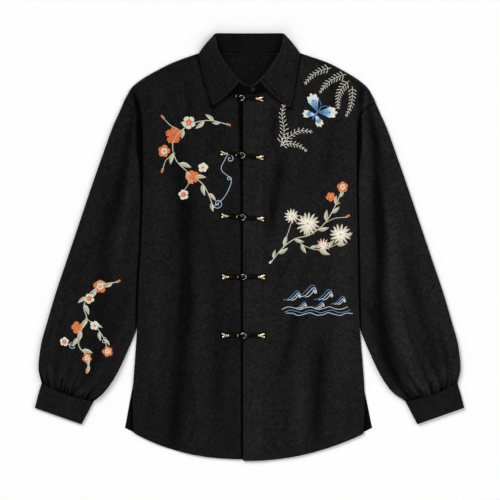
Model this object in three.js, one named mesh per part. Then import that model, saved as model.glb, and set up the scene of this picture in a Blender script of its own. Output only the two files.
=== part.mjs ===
// A long-sleeved shirt lying flat on its back, in millimetres: +X to the wearer's left, +Y to the collar, +Z up.
// Each piece that is cut and sewn is a wall of cloth of its own. The origin is under the middle of the shirt.
import * as THREE from "three";

// Driving dimensions
const CLOTH = 1.2; // wall of one layer of cloth
const RIDGE_WALL = 3; // wall where a soft ridge lifts
const SEAM = 0.35; // gap between pieces that are sewn together
const LAYER_GAP = 3.8; // most air between two layers that lie on each other
const BODY_LOFT = 5.1; // top of the fronts over the floor, away from folds
const SIDE_ROLL = 3.2; // reach of the turn from a front down to the back
// That turn: how far in the outer points lie, how much further the inner ones, and the share of the fall
const SIDE_TURN = [
  { out: 1.4, back: 0.7, drop: 0.18 },
  { out: 0.35, back: 1, drop: 0.52 },
  { out: 0, back: 1.2, drop: 1 },
];
const TUCK = 9.6; // how far a sleeve's inner edge lies under the front's side edge
const FREE_OF_BODY = { from: 0.6, to: 0.7 }; // the steps over which that edge comes out from under it
const STAND_UP = { height: 2.6, reach: 22 }; // the fronts' sides lift this much over the sleeves
const SLEEVE_REST = 4.6; // where a front's side edge comes down on the sleeve
const HEM_CURVE = { right: { low: -393.5, rise: 49, power: 2.4 }, left: { low: -396.3, rise: 50, power: 2.0 } };
const BACK_HEM = { low: -386, rise: 51, power: 2.4 };
const BACK_HALF = { right: 231, left: 227 };
const VENT_FLARE = { right: 9, left: 9.7 }; // the back shows this far beside the fronts below the vents
const BACK_HEM_STEPS = 14;
const BACK_NECK_STEPS = 8;
const NECK_GAP = 1.3; // fronts to stand, across the neckline
const BACK_NECK = { y: 358.2, rise: 1.5, half: 79 };
const EDGE_X = -12; // edge of the left front, which lies on top
const UNDERLAP_X = 10; // edge of the right front, under the left one
const PLACKET_WIDTH = 37;
const OVERLAP_Z = { under: 2.9, over: 4.5 }; // tops of the two fronts where they overlap
const LOWEST_FRONT = 3.2; // a front's top is nowhere lower
const PLACKET_COLUMNS = [EDGE_X, 0, 12.5, EDGE_X + PLACKET_WIDTH];
const UNDERLAP_COLUMNS = [-UNDERLAP_X, 4, 11, 16, 24];
const NECK_COLUMN_STEP = 0.6;
const FIELD_COLUMNS = 10;
const DIP_WIDTH = 11; // the right front drops to the overlap over this width
const PLACKET_WALL = 1.4;
const COLLAR_WALL = 1.6;
const COLLAR_ROLL = 2.6; // radius of the collar's fold line
const LEAF_ROLL = [-1, -0.4, 0.4, 1, 1.5]; // angles round the fold
const LEAF_FALL = [0.3, 0.65, 1]; // shares of the way down
const LEAF_BELLY = 1.2; // how far the leaf bulges as it falls
const CUFF_WALL = 1.8;
const CUFF_HEIGHT_Z = 7;
const SIDES = { right: -1, left: 1 }; // wearer's side to the sign of X

const CLOTH_BLACK = new THREE.MeshStandardMaterial({ color: 0x19191a, roughness: 0.9, metalness: 0 });
const CORD_BLACK = new THREE.MeshStandardMaterial({ color: 0x0c0c0d, roughness: 0.45, metalness: 0 });
const BUTTON_BLACK = new THREE.MeshStandardMaterial({ color: 0x0b0b0c, roughness: 0.2, metalness: 0 });
const PALE_GOLD = new THREE.MeshStandardMaterial({ color: 0xd9b77a, roughness: 0.3, metalness: 1 });

// Half-widths of the fronts by height. turn says how far the edge turns down to the back: 1 at a side seam
// or shoulder, 0 at a free edge or where the sleeve is sewn on.
const BODY_EDGE = [
  { y: -347, right: 215, left: 211, turn: 0 },
  { y: -280, right: 219, left: 213.5, turn: 0 },
  { y: -262, right: 218.5, left: 213.3, turn: 1 },
  { y: -217, right: 213.5, left: 209.5, turn: 1 },
  { y: -143, right: 211, left: 204, turn: 1 },
  { y: -60, right: 204.5, left: 201, turn: 1 },
  { y: 14, right: 200, left: 200, turn: 1 },
  { y: 143, right: 196.5, left: 198, turn: 1 },
  { y: 217, right: 197.5, left: 198.8, turn: 1 },
  { y: 240, right: 201.5, left: 202, turn: 1 },
  { y: 250, right: 208.5, left: 208.5, turn: 0.3 },
  { y: 259, right: 217.5, left: 217.5, turn: 0 },
  { y: 270, right: 230.5, left: 231, turn: 0 },
  { y: 279, right: 226.6, left: 227, turn: 1 },
  { y: 288, right: 222, left: 222.4, turn: 1 },
  { y: 296, right: 215.8, left: 216.2, turn: 1 },
  { y: 310, right: 198, left: 199, turn: 1 },
  { y: 325, right: 172, left: 174, turn: 1 },
  { y: 340, right: 142, left: 145, turn: 1 },
  { y: 353, right: 107, left: 108, turn: 1 },
  { y: 360.5, right: 85, left: 85, turn: 1 },
];
const FRONT_LEVELS = [
  -395, -374, -347, -313, -281, -262, -225, -185, -143, -100, -55, -10, 35, 80, 125, 170, 208, 232, 243, 250, 259,
  270, 275, 279.5, 282.5, 288, 296, 307, 321, 335, 346, 353,
];
const HEM_FADE_Y = -281; // rows above this height run level

// How far the back stays inside the front's side edge, to leave the sleeve its place
const BACK_INSET = [
  { y: -162, inset: 0 },
  { y: -150, inset: 4 },
  { y: -130, inset: 9.5 },
  { y: -100, inset: 11 },
  { y: 240, inset: 11 },
  { y: 250, inset: 10.5 },
  { y: 259, inset: 9 },
  { y: 270, inset: 6.5 },
  { y: 275, inset: 3.5 },
  { y: 279, inset: 0 },
];

// Soft troughs of the fronts: from (x0, y0) to (x1, y1), half as wide as half, deep in the middle.
const FRONT_FOLDS = {
  right: [
    { x0: -136, y0: 190, x1: -118, y1: 60, half: 17, deep: 2.2 },
    { x0: -118, y0: 70, x1: -117, y1: -130, half: 15, deep: 3 },
    { x0: -118, y0: -110, x1: -142, y1: -375, half: 16, deep: 2.8 },
    { x0: -88, y0: -40, x1: -92, y1: -350, half: 13, deep: -1.6 },
    { x0: -166, y0: 120, x1: -172, y1: -240, half: 17, deep: -1.4 },
    { x0: -71, y0: 262, x1: -62, y1: 175, half: 10, deep: 1.6 },
    { x0: -214, y0: 296, x1: -200, y1: 256, half: 6, deep: 1.2 },
    { x0: -60, y0: -90, x1: -56, y1: -330, half: 11, deep: 1.4 },
  ],
  left: [
    { x0: 60, y0: 165, x1: 38, y1: 30, half: 12, deep: 2.6 },
    { x0: 46, y0: 250, x1: 44, y1: 180, half: 10, deep: 1.8 },
    { x0: 155, y0: 305, x1: 154, y1: 250, half: 10, deep: 1.6 },
    { x0: 158, y0: 235, x1: 140, y1: 130, half: 14, deep: 1.6 },
    { x0: 90, y0: -120, x1: 58, y1: -240, half: 12, deep: 2.2 },
    { x0: 132, y0: -180, x1: 122, y1: -360, half: 14, deep: 2.8 },
    { x0: 94, y0: -220, x1: 90, y1: -370, half: 12, deep: -1.5 },
    { x0: 172, y0: 60, x1: 176, y1: -260, half: 16, deep: -1.4 },
    { x0: 214, y0: 296, x1: 201, y1: 256, half: 6, deep: 1.2 },
    { x0: 86, y0: -6, x1: 56, y1: -62, half: 7, deep: 1.4 },
  ],
};

// The sleeve from armhole to cuff: its outer and inner edge, the height of its top layer over the floor and the
// bow of its sections. The inner edge lies under the body down to where it comes free.
const SLEEVE = [
  { s: 0, ox: 230.3, oy: 272.8, ix: 197, iy: 247, top: 3.8, bow: 0 },
  { s: 0.05, ox: 241, oy: 248, ix: 190, iy: 212, top: 6.4, bow: 0 },
  { s: 0.11, ox: 253, oy: 221, ix: 190, iy: 178, top: 7.4, bow: 0 },
  { s: 0.22, ox: 272.4, oy: 167.4, ix: 190, iy: 120, top: 7.6, bow: 0 },
  { s: 0.34, ox: 293.7, oy: 106.4, ix: 190, iy: 55, top: 7.6, bow: 0 },
  { s: 0.46, ox: 315.5, oy: 41.6, ix: 190, iy: -15, top: 7.6, bow: 0 },
  { s: 0.58, ox: 337.2, oy: -23.1, ix: 195, iy: -85, top: 7.8, bow: 0 },
  { s: 0.69, ox: 358.4, oy: -86, ix: 208, iy: -148, top: 8, bow: 0 },
  { s: 0.79, ox: 374.2, oy: -139.7, ix: 228.5, iy: -201, top: 8.6, bow: 0 },
  { s: 0.88, ox: 386.2, oy: -185, ix: 251, iy: -246, top: 9.4, bow: 1.5 },
  { s: 0.955, ox: 390.3, oy: -224.8, ix: 273.5, iy: -275, top: 9.4, bow: 3.5 },
  { s: 1, ox: 384.7, oy: -252.3, ix: 287.8, iy: -286, top: 7.4, bow: 4.6 },
];
const SLEEVE_STEPS = [0, 0.045, 0.11, 0.2, 0.3, 0.4, 0.5, 0.6, 0.7, 0.79, 0.86, 0.915, 0.955, 0.983, 1];
const SLEEVE_LENGTH = 600; // along the steps

// Gathers above the cuffs: each starts at share w of the seam, leans by lean a millimetre on its way up, is half
// as wide as half, fades out over reach and is deep at the seam
const GATHERS = {
  right: [
    { w: 0.07, lean: -0.0008, half: 0.03, reach: 14, deep: 2 },
    { w: 0.17, lean: -0.0012, half: 0.03, reach: 26, deep: 2.4 },
    { w: 0.27, lean: 0.0002, half: 0.05, reach: 90, deep: 1.8 },
    { w: 0.36, lean: 0, half: 0.03, reach: 12, deep: 2.2 },
    { w: 0.44, lean: 0.001, half: 0.03, reach: 20, deep: 2.4 },
    { w: 0.53, lean: 0, half: 0.028, reach: 11, deep: 1.8 },
    { w: 0.61, lean: 0.0014, half: 0.032, reach: 30, deep: 2.8 },
    { w: 0.7, lean: 0, half: 0.028, reach: 12, deep: 2 },
    { w: 0.78, lean: 0.0006, half: 0.028, reach: 14, deep: 2 },
    { w: 0.87, lean: 0.001, half: 0.03, reach: 22, deep: 2.6 },
    { w: 0.95, lean: 0, half: 0.028, reach: 12, deep: 1.6 },
  ],
  left: [
    { w: 0.06, lean: 0, half: 0.03, reach: 16, deep: 1.8 },
    { w: 0.14, lean: 0.0006, half: 0.04, reach: 80, deep: 1.8 },
    { w: 0.24, lean: 0, half: 0.03, reach: 18, deep: 2.4 },
    { w: 0.33, lean: 0.0008, half: 0.035, reach: 100, deep: 2 },
    { w: 0.42, lean: 0, half: 0.028, reach: 14, deep: 2.2 },
    { w: 0.5, lean: 0.0004, half: 0.03, reach: 30, deep: 2.6 },
    { w: 0.59, lean: 0, half: 0.028, reach: 12, deep: 1.8 },
    { w: 0.67, lean: 0.0006, half: 0.035, reach: 90, deep: 2.2 },
    { w: 0.76, lean: 0, half: 0.028, reach: 14, deep: 2.2 },
    { w: 0.84, lean: 0.0004, half: 0.035, reach: 70, deep: 2 },
    { w: 0.93, lean: 0, half: 0.03, reach: 16, deep: 2 },
  ],
};
const SLEEVE_ACROSS = 35;
const LOWEST_SLEEVE = 3.8; // a sleeve's top is nowhere lower
const VALLEY = { flat: 12, width: 36, low: 4.2, from: 0.72, until: 0.82 }; // the sleeve dives under the body
const TUBE_ROLL = 3.6;
const UNDER_POINTS = 3;
// How a sleeve or cuff turns from its lower layer to its upper one: insets of the outer (inset) and inner
// (deep) points, and their shares of the height there
const TUBE_EDGE = [
  { inset: 2.6, rise: 0, deep: 3.5, within: 0 },
  { inset: 0.4, rise: 0.22, deep: 2.4, within: 0.2 },
  { inset: 0, rise: 0.5, deep: 1.9, within: 0.5 },
  { inset: 0.7, rise: 0.82, deep: 2.5, within: 0.8 },
];
// Long soft troughs of the sleeves, in steps along (s) and shares across (w)
const SLEEVE_FOLDS = {
  right: [
    { s0: 0.02, w0: 0.45, s1: 0.4, w1: 0.5, half: 0.12, deep: 2.2 },
    { s0: 0.35, w0: 0.3, s1: 0.75, w1: 0.62, half: 0.1, deep: 1.8 },
    { s0: 0.6, w0: 0.8, s1: 0.95, w1: 0.66, half: 0.07, deep: 1.4 },
    { s0: 0.15, w0: 0.66, s1: 0.5, w1: 0.62, half: 0.08, deep: -1.2 },
  ],
  left: [
    { s0: 0.02, w0: 0.5, s1: 0.4, w1: 0.66, half: 0.12, deep: 2.8 },
    { s0: 0.3, w0: 0.7, s1: 0.95, w1: 0.72, half: 0.11, deep: 2.6 },
    { s0: 0.55, w0: 0.34, s1: 0.92, w1: 0.3, half: 0.07, deep: 1.6 },
    { s0: 0.25, w0: 0.4, s1: 0.75, w1: 0.5, half: 0.08, deep: -1.6 },
  ],
};
const CUFF = [
  { t: 0, ox: 384.6, oy: -253, ix: 288.1, iy: -286.7, bow: 4.6 },
  { t: 0.5, ox: 391.2, oy: -275.4, ix: 299, iy: -307.5, bow: 2 },
  { t: 1, ox: 397, oy: -298.2, ix: 310.2, iy: -328.7, bow: 0 },
];
const CUFF_ACROSS = 8;

// One half of the collar from the middle of the back: neck seam (a), fold line (b) and outer edge (c)
const COLLAR = [
  { t: 0, ax: 0, ay: 357.4, az: 1.6, bx: 0, by: 393.4, bz: 12.5, cx: 0, cy: 361, cz: 0.2 },
  { t: 1, ax: 26, ay: 357.9, az: 1.6, bx: 26, by: 393.4, bz: 12.8, cx: 30, cy: 361.4, cz: 0.2 },
  { t: 2, ax: 50, ay: 359.2, az: 1.6, bx: 46, by: 393.4, bz: 14.8, cx: 55, cy: 362.6, cz: 0.2 },
  { t: 3, ax: 66, ay: 360.6, az: 1.8, bx: 57, by: 393.2, bz: 17, cx: 75, cy: 363.6, cz: 0.3 },
  { t: 4, ax: 75, ay: 361.4, az: 2.6, bx: 62, by: 391.6, bz: 20, cx: 86, cy: 362.5, cz: 1.8 },
  { t: 5, ax: 80.2, ay: 358.6, az: 4, bx: 63.6, by: 387.6, bz: 22.5, cx: 93.8, cy: 356.8, cz: 6.2 },
  { t: 6, ax: 80.8, ay: 351, az: 5, bx: 62.4, by: 381.6, bz: 24.3, cx: 92.6, cy: 348, cz: 8.4 },
  { t: 7, ax: 78.6, ay: 340, az: 5, bx: 59.2, by: 368, bz: 26, cx: 88.6, cy: 331, cz: 8.2 },
  { t: 8, ax: 72.6, ay: 324, az: 5, bx: 52.3, by: 352.2, bz: 26.5, cx: 83.5, cy: 310, cz: 7.8 },
  { t: 9, ax: 62.4, ay: 309, az: 5, bx: 42.1, by: 336, bz: 26, cx: 78, cy: 291.5, cz: 7.4 },
  { t: 10, ax: 48, ay: 296, az: 5, bx: 30.6, by: 320.8, bz: 24.5, cx: 72.5, cy: 275, cz: 7.2 },
  { t: 11, ax: 32, ay: 287, az: 5, bx: 15.6, by: 306.6, bz: 22, cx: 66.3, cy: 260.8, cz: 7.2 },
  { t: 12, ax: 16, ay: 282.4, az: 4.8, bx: 7.3, by: 301.8, bz: 19.5, cx: 40, cy: 272, cz: 7.2 },
  { t: 13, ax: 0, ay: 281.2, az: 4.8, bx: 0, by: 298.6, bz: 18, cx: 4, cy: 266, cz: 7.2 },
];
const SHOULDER_ROW = 5; // from this row on the seam runs along the fronts
const LEAF_END = 11; // the leaf stops at this row, the stand goes on
const LEAF_TIP_SHIFT = { right: 0, left: 7.1 }; // the left point lies a little further out
const LEAF_BOW = { from: 9.6, deep: 3.2, x: -0.67, y: -0.74 }; // the leaf's front edge bows forward, this way
const STAND_END = 12.7;
const STAND_OVERLAP = 2.3; // the left end of the stand lies this far over the right one

// Fastenings: the middle of each, its tilt, and how far its loop swings up from there to lie under the collar
const FASTENINGS = [
  { x: -14.8, y: 274.6, tilt: -0.055, swing: -0.32 },
  { x: -13.7, y: 168.2, tilt: -0.114, swing: 0 },
  { x: -12.6, y: 53.9, tilt: -0.08, swing: 0 },
  { x: -11, y: -56.2, tilt: 0, swing: 0 },
  { x: -11, y: -164.5, tilt: 0, swing: 0 },
];
const FASTENING_LIFT = 0.3; // fastening to cloth
const CORD_R = 0.85;
const CORD_SIDES = 6;
const CORD_APART = 1.15; // each strand to the middle of its pair
const TIP = { root: 26.6, neck: 1.7, end: 41.2, lobe: 2.5, apart: 2.7, depth: 2 };
const BUTTON = { radius: 3.9, height: 5 };
const BEZEL = { radius: 4.75, wire: 0.55, opening: 1.3, turn: 3.54 }; // turn: where its opening looks
const LOOP_R = 6.5;
const BAND = { at: -10.6, width: 1.4, wall: 0.5 };
const COLLAR_BUTTON = { x: 5.8, y: 292.6, radius: 6.4, height: 2.4, lift: 0.35, holes: 0.7, apart: 1.3 };

const { lerp, smoothstep, clamp } = THREE.MathUtils;
const shirt = new THREE.Group();

// Reads a column of a table at a value of its key column, along a cubic that never overshoots.
function read(rows, key, at, column) {
  const last = rows.length - 1;
  if (at <= rows[0][key]) return rows[0][column];
  if (at >= rows[last][key]) return rows[last][column];
  const i = rows.findIndex((row, n) => at < rows[n + 1][key]);
  const slope = (n) => (rows[n + 1][column] - rows[n][column]) / (rows[n + 1][key] - rows[n][key]);
  const tangent = (n) => {
    if (n === 0) return slope(0);
    if (n === last) return slope(last - 1);
    const before = slope(n - 1);
    const after = slope(n);
    return before * after <= 0 ? 0 : (2 * before * after) / (before + after);
  };
  const step = rows[i + 1][key] - rows[i][key];
  const t = (at - rows[i][key]) / step;
  const rise = rows[i + 1][column] - rows[i][column];
  const m0 = tangent(i) * step;
  const m1 = tangent(i + 1) * step;
  return rows[i][column] + t * (m0 + t * (3 * rise - 2 * m0 - m1 + t * (m0 + m1 - 2 * rise)));
}

// Adds a solid to the shirt under its name.
function add(name, geometry, material, place = new THREE.Matrix4()) {
  const mesh = new THREE.Mesh(geometry.applyMatrix4(place), material);
  mesh.name = name;
  shirt.add(mesh);
}

// A closed wall between rows of outer points and as many inner points. closed joins each row's ends, as in a tube.
function wall(outer, inner, closed = false) {
  const count = outer.length;
  const across = outer[0].length;
  const half = count * across;
  const points = [...outer.flat(), ...inner.flat()];
  const faces = [];
  const quad = (a, b, c, d) => faces.push(a, b, c, a, c, d);
  const id = (i, j) => i * across + (j % across);
  const columns = closed ? across : across - 1;
  for (let i = 0; i < count - 1; i++) {
    for (let j = 0; j < columns; j++) {
      quad(id(i, j), id(i, j + 1), id(i + 1, j + 1), id(i + 1, j));
      quad(half + id(i, j), half + id(i + 1, j), half + id(i + 1, j + 1), half + id(i, j + 1));
    }
    if (closed) continue;
    quad(id(i, 0), id(i + 1, 0), half + id(i + 1, 0), half + id(i, 0));
    quad(id(i + 1, across - 1), id(i, across - 1), half + id(i, across - 1), half + id(i + 1, across - 1));
  }
  for (let j = 0; j < columns; j++) {
    quad(id(0, j + 1), id(0, j), half + id(0, j), half + id(0, j + 1));
    quad(id(count - 1, j), id(count - 1, j + 1), half + id(count - 1, j + 1), half + id(count - 1, j));
  }
  const geometry = new THREE.BufferGeometry().setFromPoints(points);
  geometry.setIndex(faces);
  return facingOut(geometry);
}

// Turns a closed geometry's faces round if they point inwards.
function facingOut(geometry) {
  const p = geometry.getAttribute("position");
  const order = geometry.getIndex().array;
  const corner = (n) => new THREE.Vector3().fromBufferAttribute(p, order[n]);
  let volume = 0;
  for (let n = 0; n < order.length; n += 3) volume += corner(n).dot(corner(n + 1).cross(corner(n + 2)));
  if (volume < 0) {
    for (let n = 0; n < order.length; n += 3) [order[n + 1], order[n + 2]] = [order[n + 2], order[n + 1]];
  }
  return geometry;
}

// Height that a soft trough takes away at (x, y): round across, fading at its ends.
function trough(x, y, x0, y0, x1, y1, half, deep) {
  const dx = x1 - x0;
  const dy = y1 - y0;
  const length = Math.hypot(dx, dy);
  const along = ((x - x0) * dx + (y - y0) * dy) / (length * length);
  const across = ((x - x0) * dy - (y - y0) * dx) / length;
  const fade = smoothstep(along, -0.25, 0.2) * (1 - smoothstep(along, 0.8, 1.25));
  return deep * fade * Math.exp(-((across / half) ** 2));
}

const edgeX = (side, y) => read(BODY_EDGE, "y", y, side);
const hemY = (curve, x, half) => curve.low + curve.rise * Math.abs(x / half) ** curve.power;

// Top of a front at (x, y), before its edge turns down. inward is the way from the side to the edge.
function frontTop(side, x, y) {
  const distance = edgeX(side, y) - Math.abs(x);
  const standUp = smoothstep(y, -190, -120) * (1 - smoothstep(y, 268, 290));
  let z = BODY_LOFT + STAND_UP.height * standUp * Math.exp(-Math.max(distance, 0) / STAND_UP.reach);
  for (const f of FRONT_FOLDS[side]) z -= trough(x, y, f.x0, f.y0, f.x1, f.y1, f.half, f.deep);
  if (side === "right") {
    const flat = smoothstep(x, EDGE_X - DIP_WIDTH, EDGE_X - 2);
    return lerp(Math.max(z, LOWEST_FRONT), OVERLAP_Z.under, flat);
  }
  const flat = 1 - smoothstep(x, EDGE_X + PLACKET_WIDTH, EDGE_X + PLACKET_WIDTH + 16);
  return lerp(Math.max(z, LOWEST_FRONT), OVERLAP_Z.over, flat);
}

// X where a front begins at its middle: the free edge, or the neckline above it, which the stand's seam follows.
const NECKLINE = COLLAR.filter((row) => row.t >= SHOULDER_ROW).reverse();
function innerX(side, y) {
  const edge = side === "left" ? EDGE_X : -UNDERLAP_X;
  return y < NECKLINE[0].ay ? edge : read(NECKLINE, "ay", y, "ax") + NECK_GAP;
}

// How much wider a distance across the side seam or shoulder grows when it is measured along X.
const edgeSlant = (side, y) => Math.hypot(1, (edgeX(side, y + 2) - edgeX(side, y - 2)) / 4);

// X of a front's columns: the placket's own first, or a close bunch of them at the neckline, then evenly.
function frontColumns(side, y) {
  const sign = SIDES[side];
  const start = innerX(side, y);
  const own = side === "left" ? PLACKET_COLUMNS : UNDERLAP_COLUMNS;
  const first = start > own[0] ? own.map((_, n) => start + NECK_COLUMN_STEP * n) : own;
  const last = first[first.length - 1];
  const room = edgeX(side, y) - (SIDE_ROLL + 1) * edgeSlant(side, y);
  const field = Array.from({ length: FIELD_COLUMNS }, (_, n) => lerp(last, room, (n + 1) / FIELD_COLUMNS));
  return [...first, ...field].map((x) => x * sign);
}

// Rows of a front, outer and inner: each runs from the middle to the side and then down the turned edge.
function frontRows(side) {
  const sign = SIDES[side];
  const hem = HEM_CURVE[side];
  const corner = BODY_EDGE[0][side];
  const outer = [];
  const inner = [];
  for (const level of FRONT_LEVELS) {
    const follow = clamp((HEM_FADE_Y - level) / (HEM_FADE_Y - FRONT_LEVELS[0]), 0, 1);
    const yAt = (x) => level + follow * (hemY(hem, x, corner) - FRONT_LEVELS[0]);
    const edgeY = yAt(corner);
    const edge = edgeX(side, edgeY);
    const turn = read(BODY_EDGE, "y", edgeY, "turn");
    const slant = edgeSlant(side, edgeY);
    const top = frontTop(side, edge * sign, edgeY);
    const thick = frontWall(top);
    const onSleeve = smoothstep(edgeY, -195, -170) * (1 - smoothstep(edgeY, 270, 282));
    const foot = lerp(CLOTH + SEAM, SLEEVE_REST, onSleeve);
    const outerRow = [];
    const innerRow = [];
    for (const x of frontColumns(side, edgeY)) {
      const z = frontTop(side, x, yAt(x));
      outerRow.push(new THREE.Vector3(x, yAt(x), z));
      innerRow.push(new THREE.Vector3(x, yAt(x), z - frontWall(z)));
    }
    for (const { out, back, drop } of SIDE_TURN) {
      const z = top - drop * (top - foot) * turn;
      const low = Math.max(z - thick * (1 - drop), foot);
      outerRow.push(new THREE.Vector3((edge - out * slant) * sign, edgeY, z));
      innerRow.push(new THREE.Vector3((edge - (out + back * turn) * slant) * sign, edgeY, lerp(z - thick, low, turn)));
    }
    outer.push(outerRow);
    inner.push(innerRow);
  }
  return { outer, inner };
}

const frontWall = (z) => clamp(z - CLOTH - LAYER_GAP, CLOTH, RIDGE_WALL);
for (const side of ["right", "left"]) {
  const { outer, inner } = frontRows(side);
  add("front_" + side, wall(outer, inner), CLOTH_BLACK);
}

// The placket band lies on the left front's first columns, moved out.
const bandRows = frontRows("left")
  .outer.filter((row) => row[0].x <= EDGE_X + 0.01)
  .map((row) => row.slice(0, 4));
const raised = (rows, height) => rows.map((row) => row.map((p) => new THREE.Vector3(p.x, p.y, p.z + height)));
add("placket", wall(raised(bandRows, SEAM + PLACKET_WALL), raised(bandRows, SEAM)), CLOTH_BLACK);
const PLACKET_TOP = OVERLAP_Z.over + SEAM + PLACKET_WALL;

// The back is one flat layer under both fronts, a little wider than they are below the side vents.
function backOutline() {
  const shape = new THREE.Shape();
  const points = [];
  for (let n = 0; n <= BACK_HEM_STEPS; n++) {
    const x = lerp(-BACK_HALF.right, BACK_HALF.left, n / BACK_HEM_STEPS);
    points.push([x, hemY(BACK_HEM, x, x < 0 ? BACK_HALF.right : BACK_HALF.left)]);
  }
  const inset = (y) => read(BACK_INSET, "y", y, "inset");
  const reach = (side, y) => edgeX(side, y) - inset(y) + VENT_FLARE[side] * smoothstep(-y, 275, 320);
  const heights = [...BODY_EDGE.slice(1, -1), ...BACK_INSET].map((row) => row.y);
  const sideY = [-310, ...[...new Set(heights)].sort((a, b) => a - b)];
  for (const y of sideY) points.push([reach("left", y), y]);
  for (let n = 0; n <= BACK_NECK_STEPS; n++) {
    const x = lerp(BACK_NECK.half, -BACK_NECK.half, n / BACK_NECK_STEPS);
    points.push([x, BACK_NECK.y + BACK_NECK.rise * (x / BACK_NECK.half) ** 2]);
  }
  for (const y of [...sideY].reverse()) points.push([-reach("right", y), y]);
  points.forEach(([x, y], n) => (n ? shape.lineTo(x, y) : shape.moveTo(x, y)));
  return shape;
}
add("back", new THREE.ExtrudeGeometry(backOutline(), { depth: CLOTH, bevelEnabled: false }), CLOTH_BLACK);

// Top of a sleeve's upper layer at step s and share w across, with its folds and gathers.
function sleeveTop(side, s, w, width) {
  const full = read(SLEEVE, "s", s, "top");
  const beside = 1 - smoothstep(s, VALLEY.from, VALLEY.until);
  const low = Math.min(VALLEY.low, full);
  let z = lerp(full, lerp(low, full, smoothstep((1 - w) * width, VALLEY.flat, VALLEY.width)), beside);
  for (const f of SLEEVE_FOLDS[side]) z -= trough(s, w, f.s0, f.w0, f.s1, f.w1, f.half, f.deep);
  const up = (1 - s) * SLEEVE_LENGTH;
  for (const g of GATHERS[side]) {
    z -= g.deep * Math.exp(-((up / g.reach) ** 1.3)) * Math.exp(-(((w - g.w - g.lean * up) / g.half) ** 2));
  }
  return Math.max(z, LOWEST_SLEEVE);
}

// A tube's section, outer and inner: round the outer edge, over the top, round the inner edge and back along
// the floor. ends has the two edges in plan, top gives the upper layer's height by share across, and bow bends
// the whole section towards the cuff.
function tubeSection(ends, bow, across, thick, top, place) {
  const span = new THREE.Vector2().subVectors(ends[1], ends[0]);
  const width = span.length();
  const dir = span.normalize();
  const outer = [];
  const inner = [];
  const put = (row, d, z) => {
    const arch = bow * Math.sin(Math.PI * clamp(d / width, 0, 1));
    row.push(place(ends[0].x + dir.x * d - dir.y * arch, ends[0].y + dir.y * d + dir.x * arch, z));
  };
  const turn = (atEnd, list) => {
    const w = atEnd ? 1 : 0;
    const high = top(w, width);
    const wallHere = thick(high);
    for (const e of list) {
      put(outer, atEnd ? width - e.inset : e.inset, e.rise * high);
      put(inner, atEnd ? width - e.deep : e.deep, lerp(thick(0), high - wallHere, e.within));
    }
  };
  turn(false, TUBE_EDGE);
  for (let n = 0; n <= across; n++) {
    const w = lerp(TUBE_ROLL / width, 1 - TUBE_ROLL / width, n / across);
    const z = top(w, width);
    put(outer, w * width, z);
    put(inner, w * width, z - thick(z));
  }
  turn(true, [...TUBE_EDGE].reverse());
  for (let n = 1; n <= UNDER_POINTS; n++) {
    const w = 1 - n / (UNDER_POINTS + 1);
    put(outer, w * width, 0);
    put(inner, w * width, thick(0));
  }
  return { outer, inner };
}

function tube(name, sections) {
  const geometry = wall(
    sections.map((section) => section.outer),
    sections.map((section) => section.inner),
    true
  );
  add(name, geometry, CLOTH_BLACK);
}

const sleeveWall = (z) => clamp((z - LAYER_GAP) / 2, CLOTH, RIDGE_WALL);
for (const side of ["right", "left"]) {
  const sign = SIDES[side];
  const place = (x, y, z) => new THREE.Vector3(x * sign, y, z);
  const sleeve = SLEEVE_STEPS.map((s) => {
    const [ox, oy, ix, iy, bow] = ["ox", "oy", "ix", "iy", "bow"].map((c) => read(SLEEVE, "s", s, c));
    const inX = lerp(edgeX(side, iy) - TUCK, ix, smoothstep(s, FREE_OF_BODY.from, FREE_OF_BODY.to));
    const ends = [new THREE.Vector2(ox, oy), new THREE.Vector2(inX, iy)];
    return tubeSection(ends, bow, SLEEVE_ACROSS, sleeveWall, (w, width) => sleeveTop(side, s, w, width), place);
  });
  tube("sleeve_" + side, sleeve);
  const cuff = CUFF.map(({ ox, oy, ix, iy, bow }) => {
    const ends = [new THREE.Vector2(ox, oy), new THREE.Vector2(ix, iy)];
    return tubeSection(ends, bow, CUFF_ACROSS, () => CUFF_WALL, () => CUFF_HEIGHT_Z, place);
  });
  tube("cuff_" + side, cuff);
}

// A row of the collar's table at t, on a side of the shirt, as its seam, fold and edge points.
function collarAt(side, t) {
  const sign = SIDES[side];
  const tip = LEAF_TIP_SHIFT[side] * smoothstep(t, 6, LEAF_END);
  const point = (n, shift = 0) =>
    new THREE.Vector3(
      (read(COLLAR, "t", t, n + "x") + shift) * sign,
      read(COLLAR, "t", t, n + "y") - shift * 0.6,
      read(COLLAR, "t", t, n + "z")
    );
  const a = point("a");
  const b = point("b");
  const c = point("c", tip);
  const apex = b.clone().multiplyScalar(2).sub(a).sub(c).normalize();
  const toLeaf = c.clone().sub(a);
  toLeaf.addScaledVector(apex, -toLeaf.dot(apex)).normalize();
  const centre = b.clone().addScaledVector(apex, -COLLAR_ROLL);
  return { a, c, apex, toLeaf, centre };
}

const collarStations = (end) => {
  const ts = [];
  for (let t = end; t > 0.01; t -= t > 3.1 && t < 6 ? 0.5 : 1) ts.push(t);
  const back = [...ts].reverse();
  return [...ts.map((t) => ["right", t]), ["left", 0], ...back.map((t) => ["left", t])];
};

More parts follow.
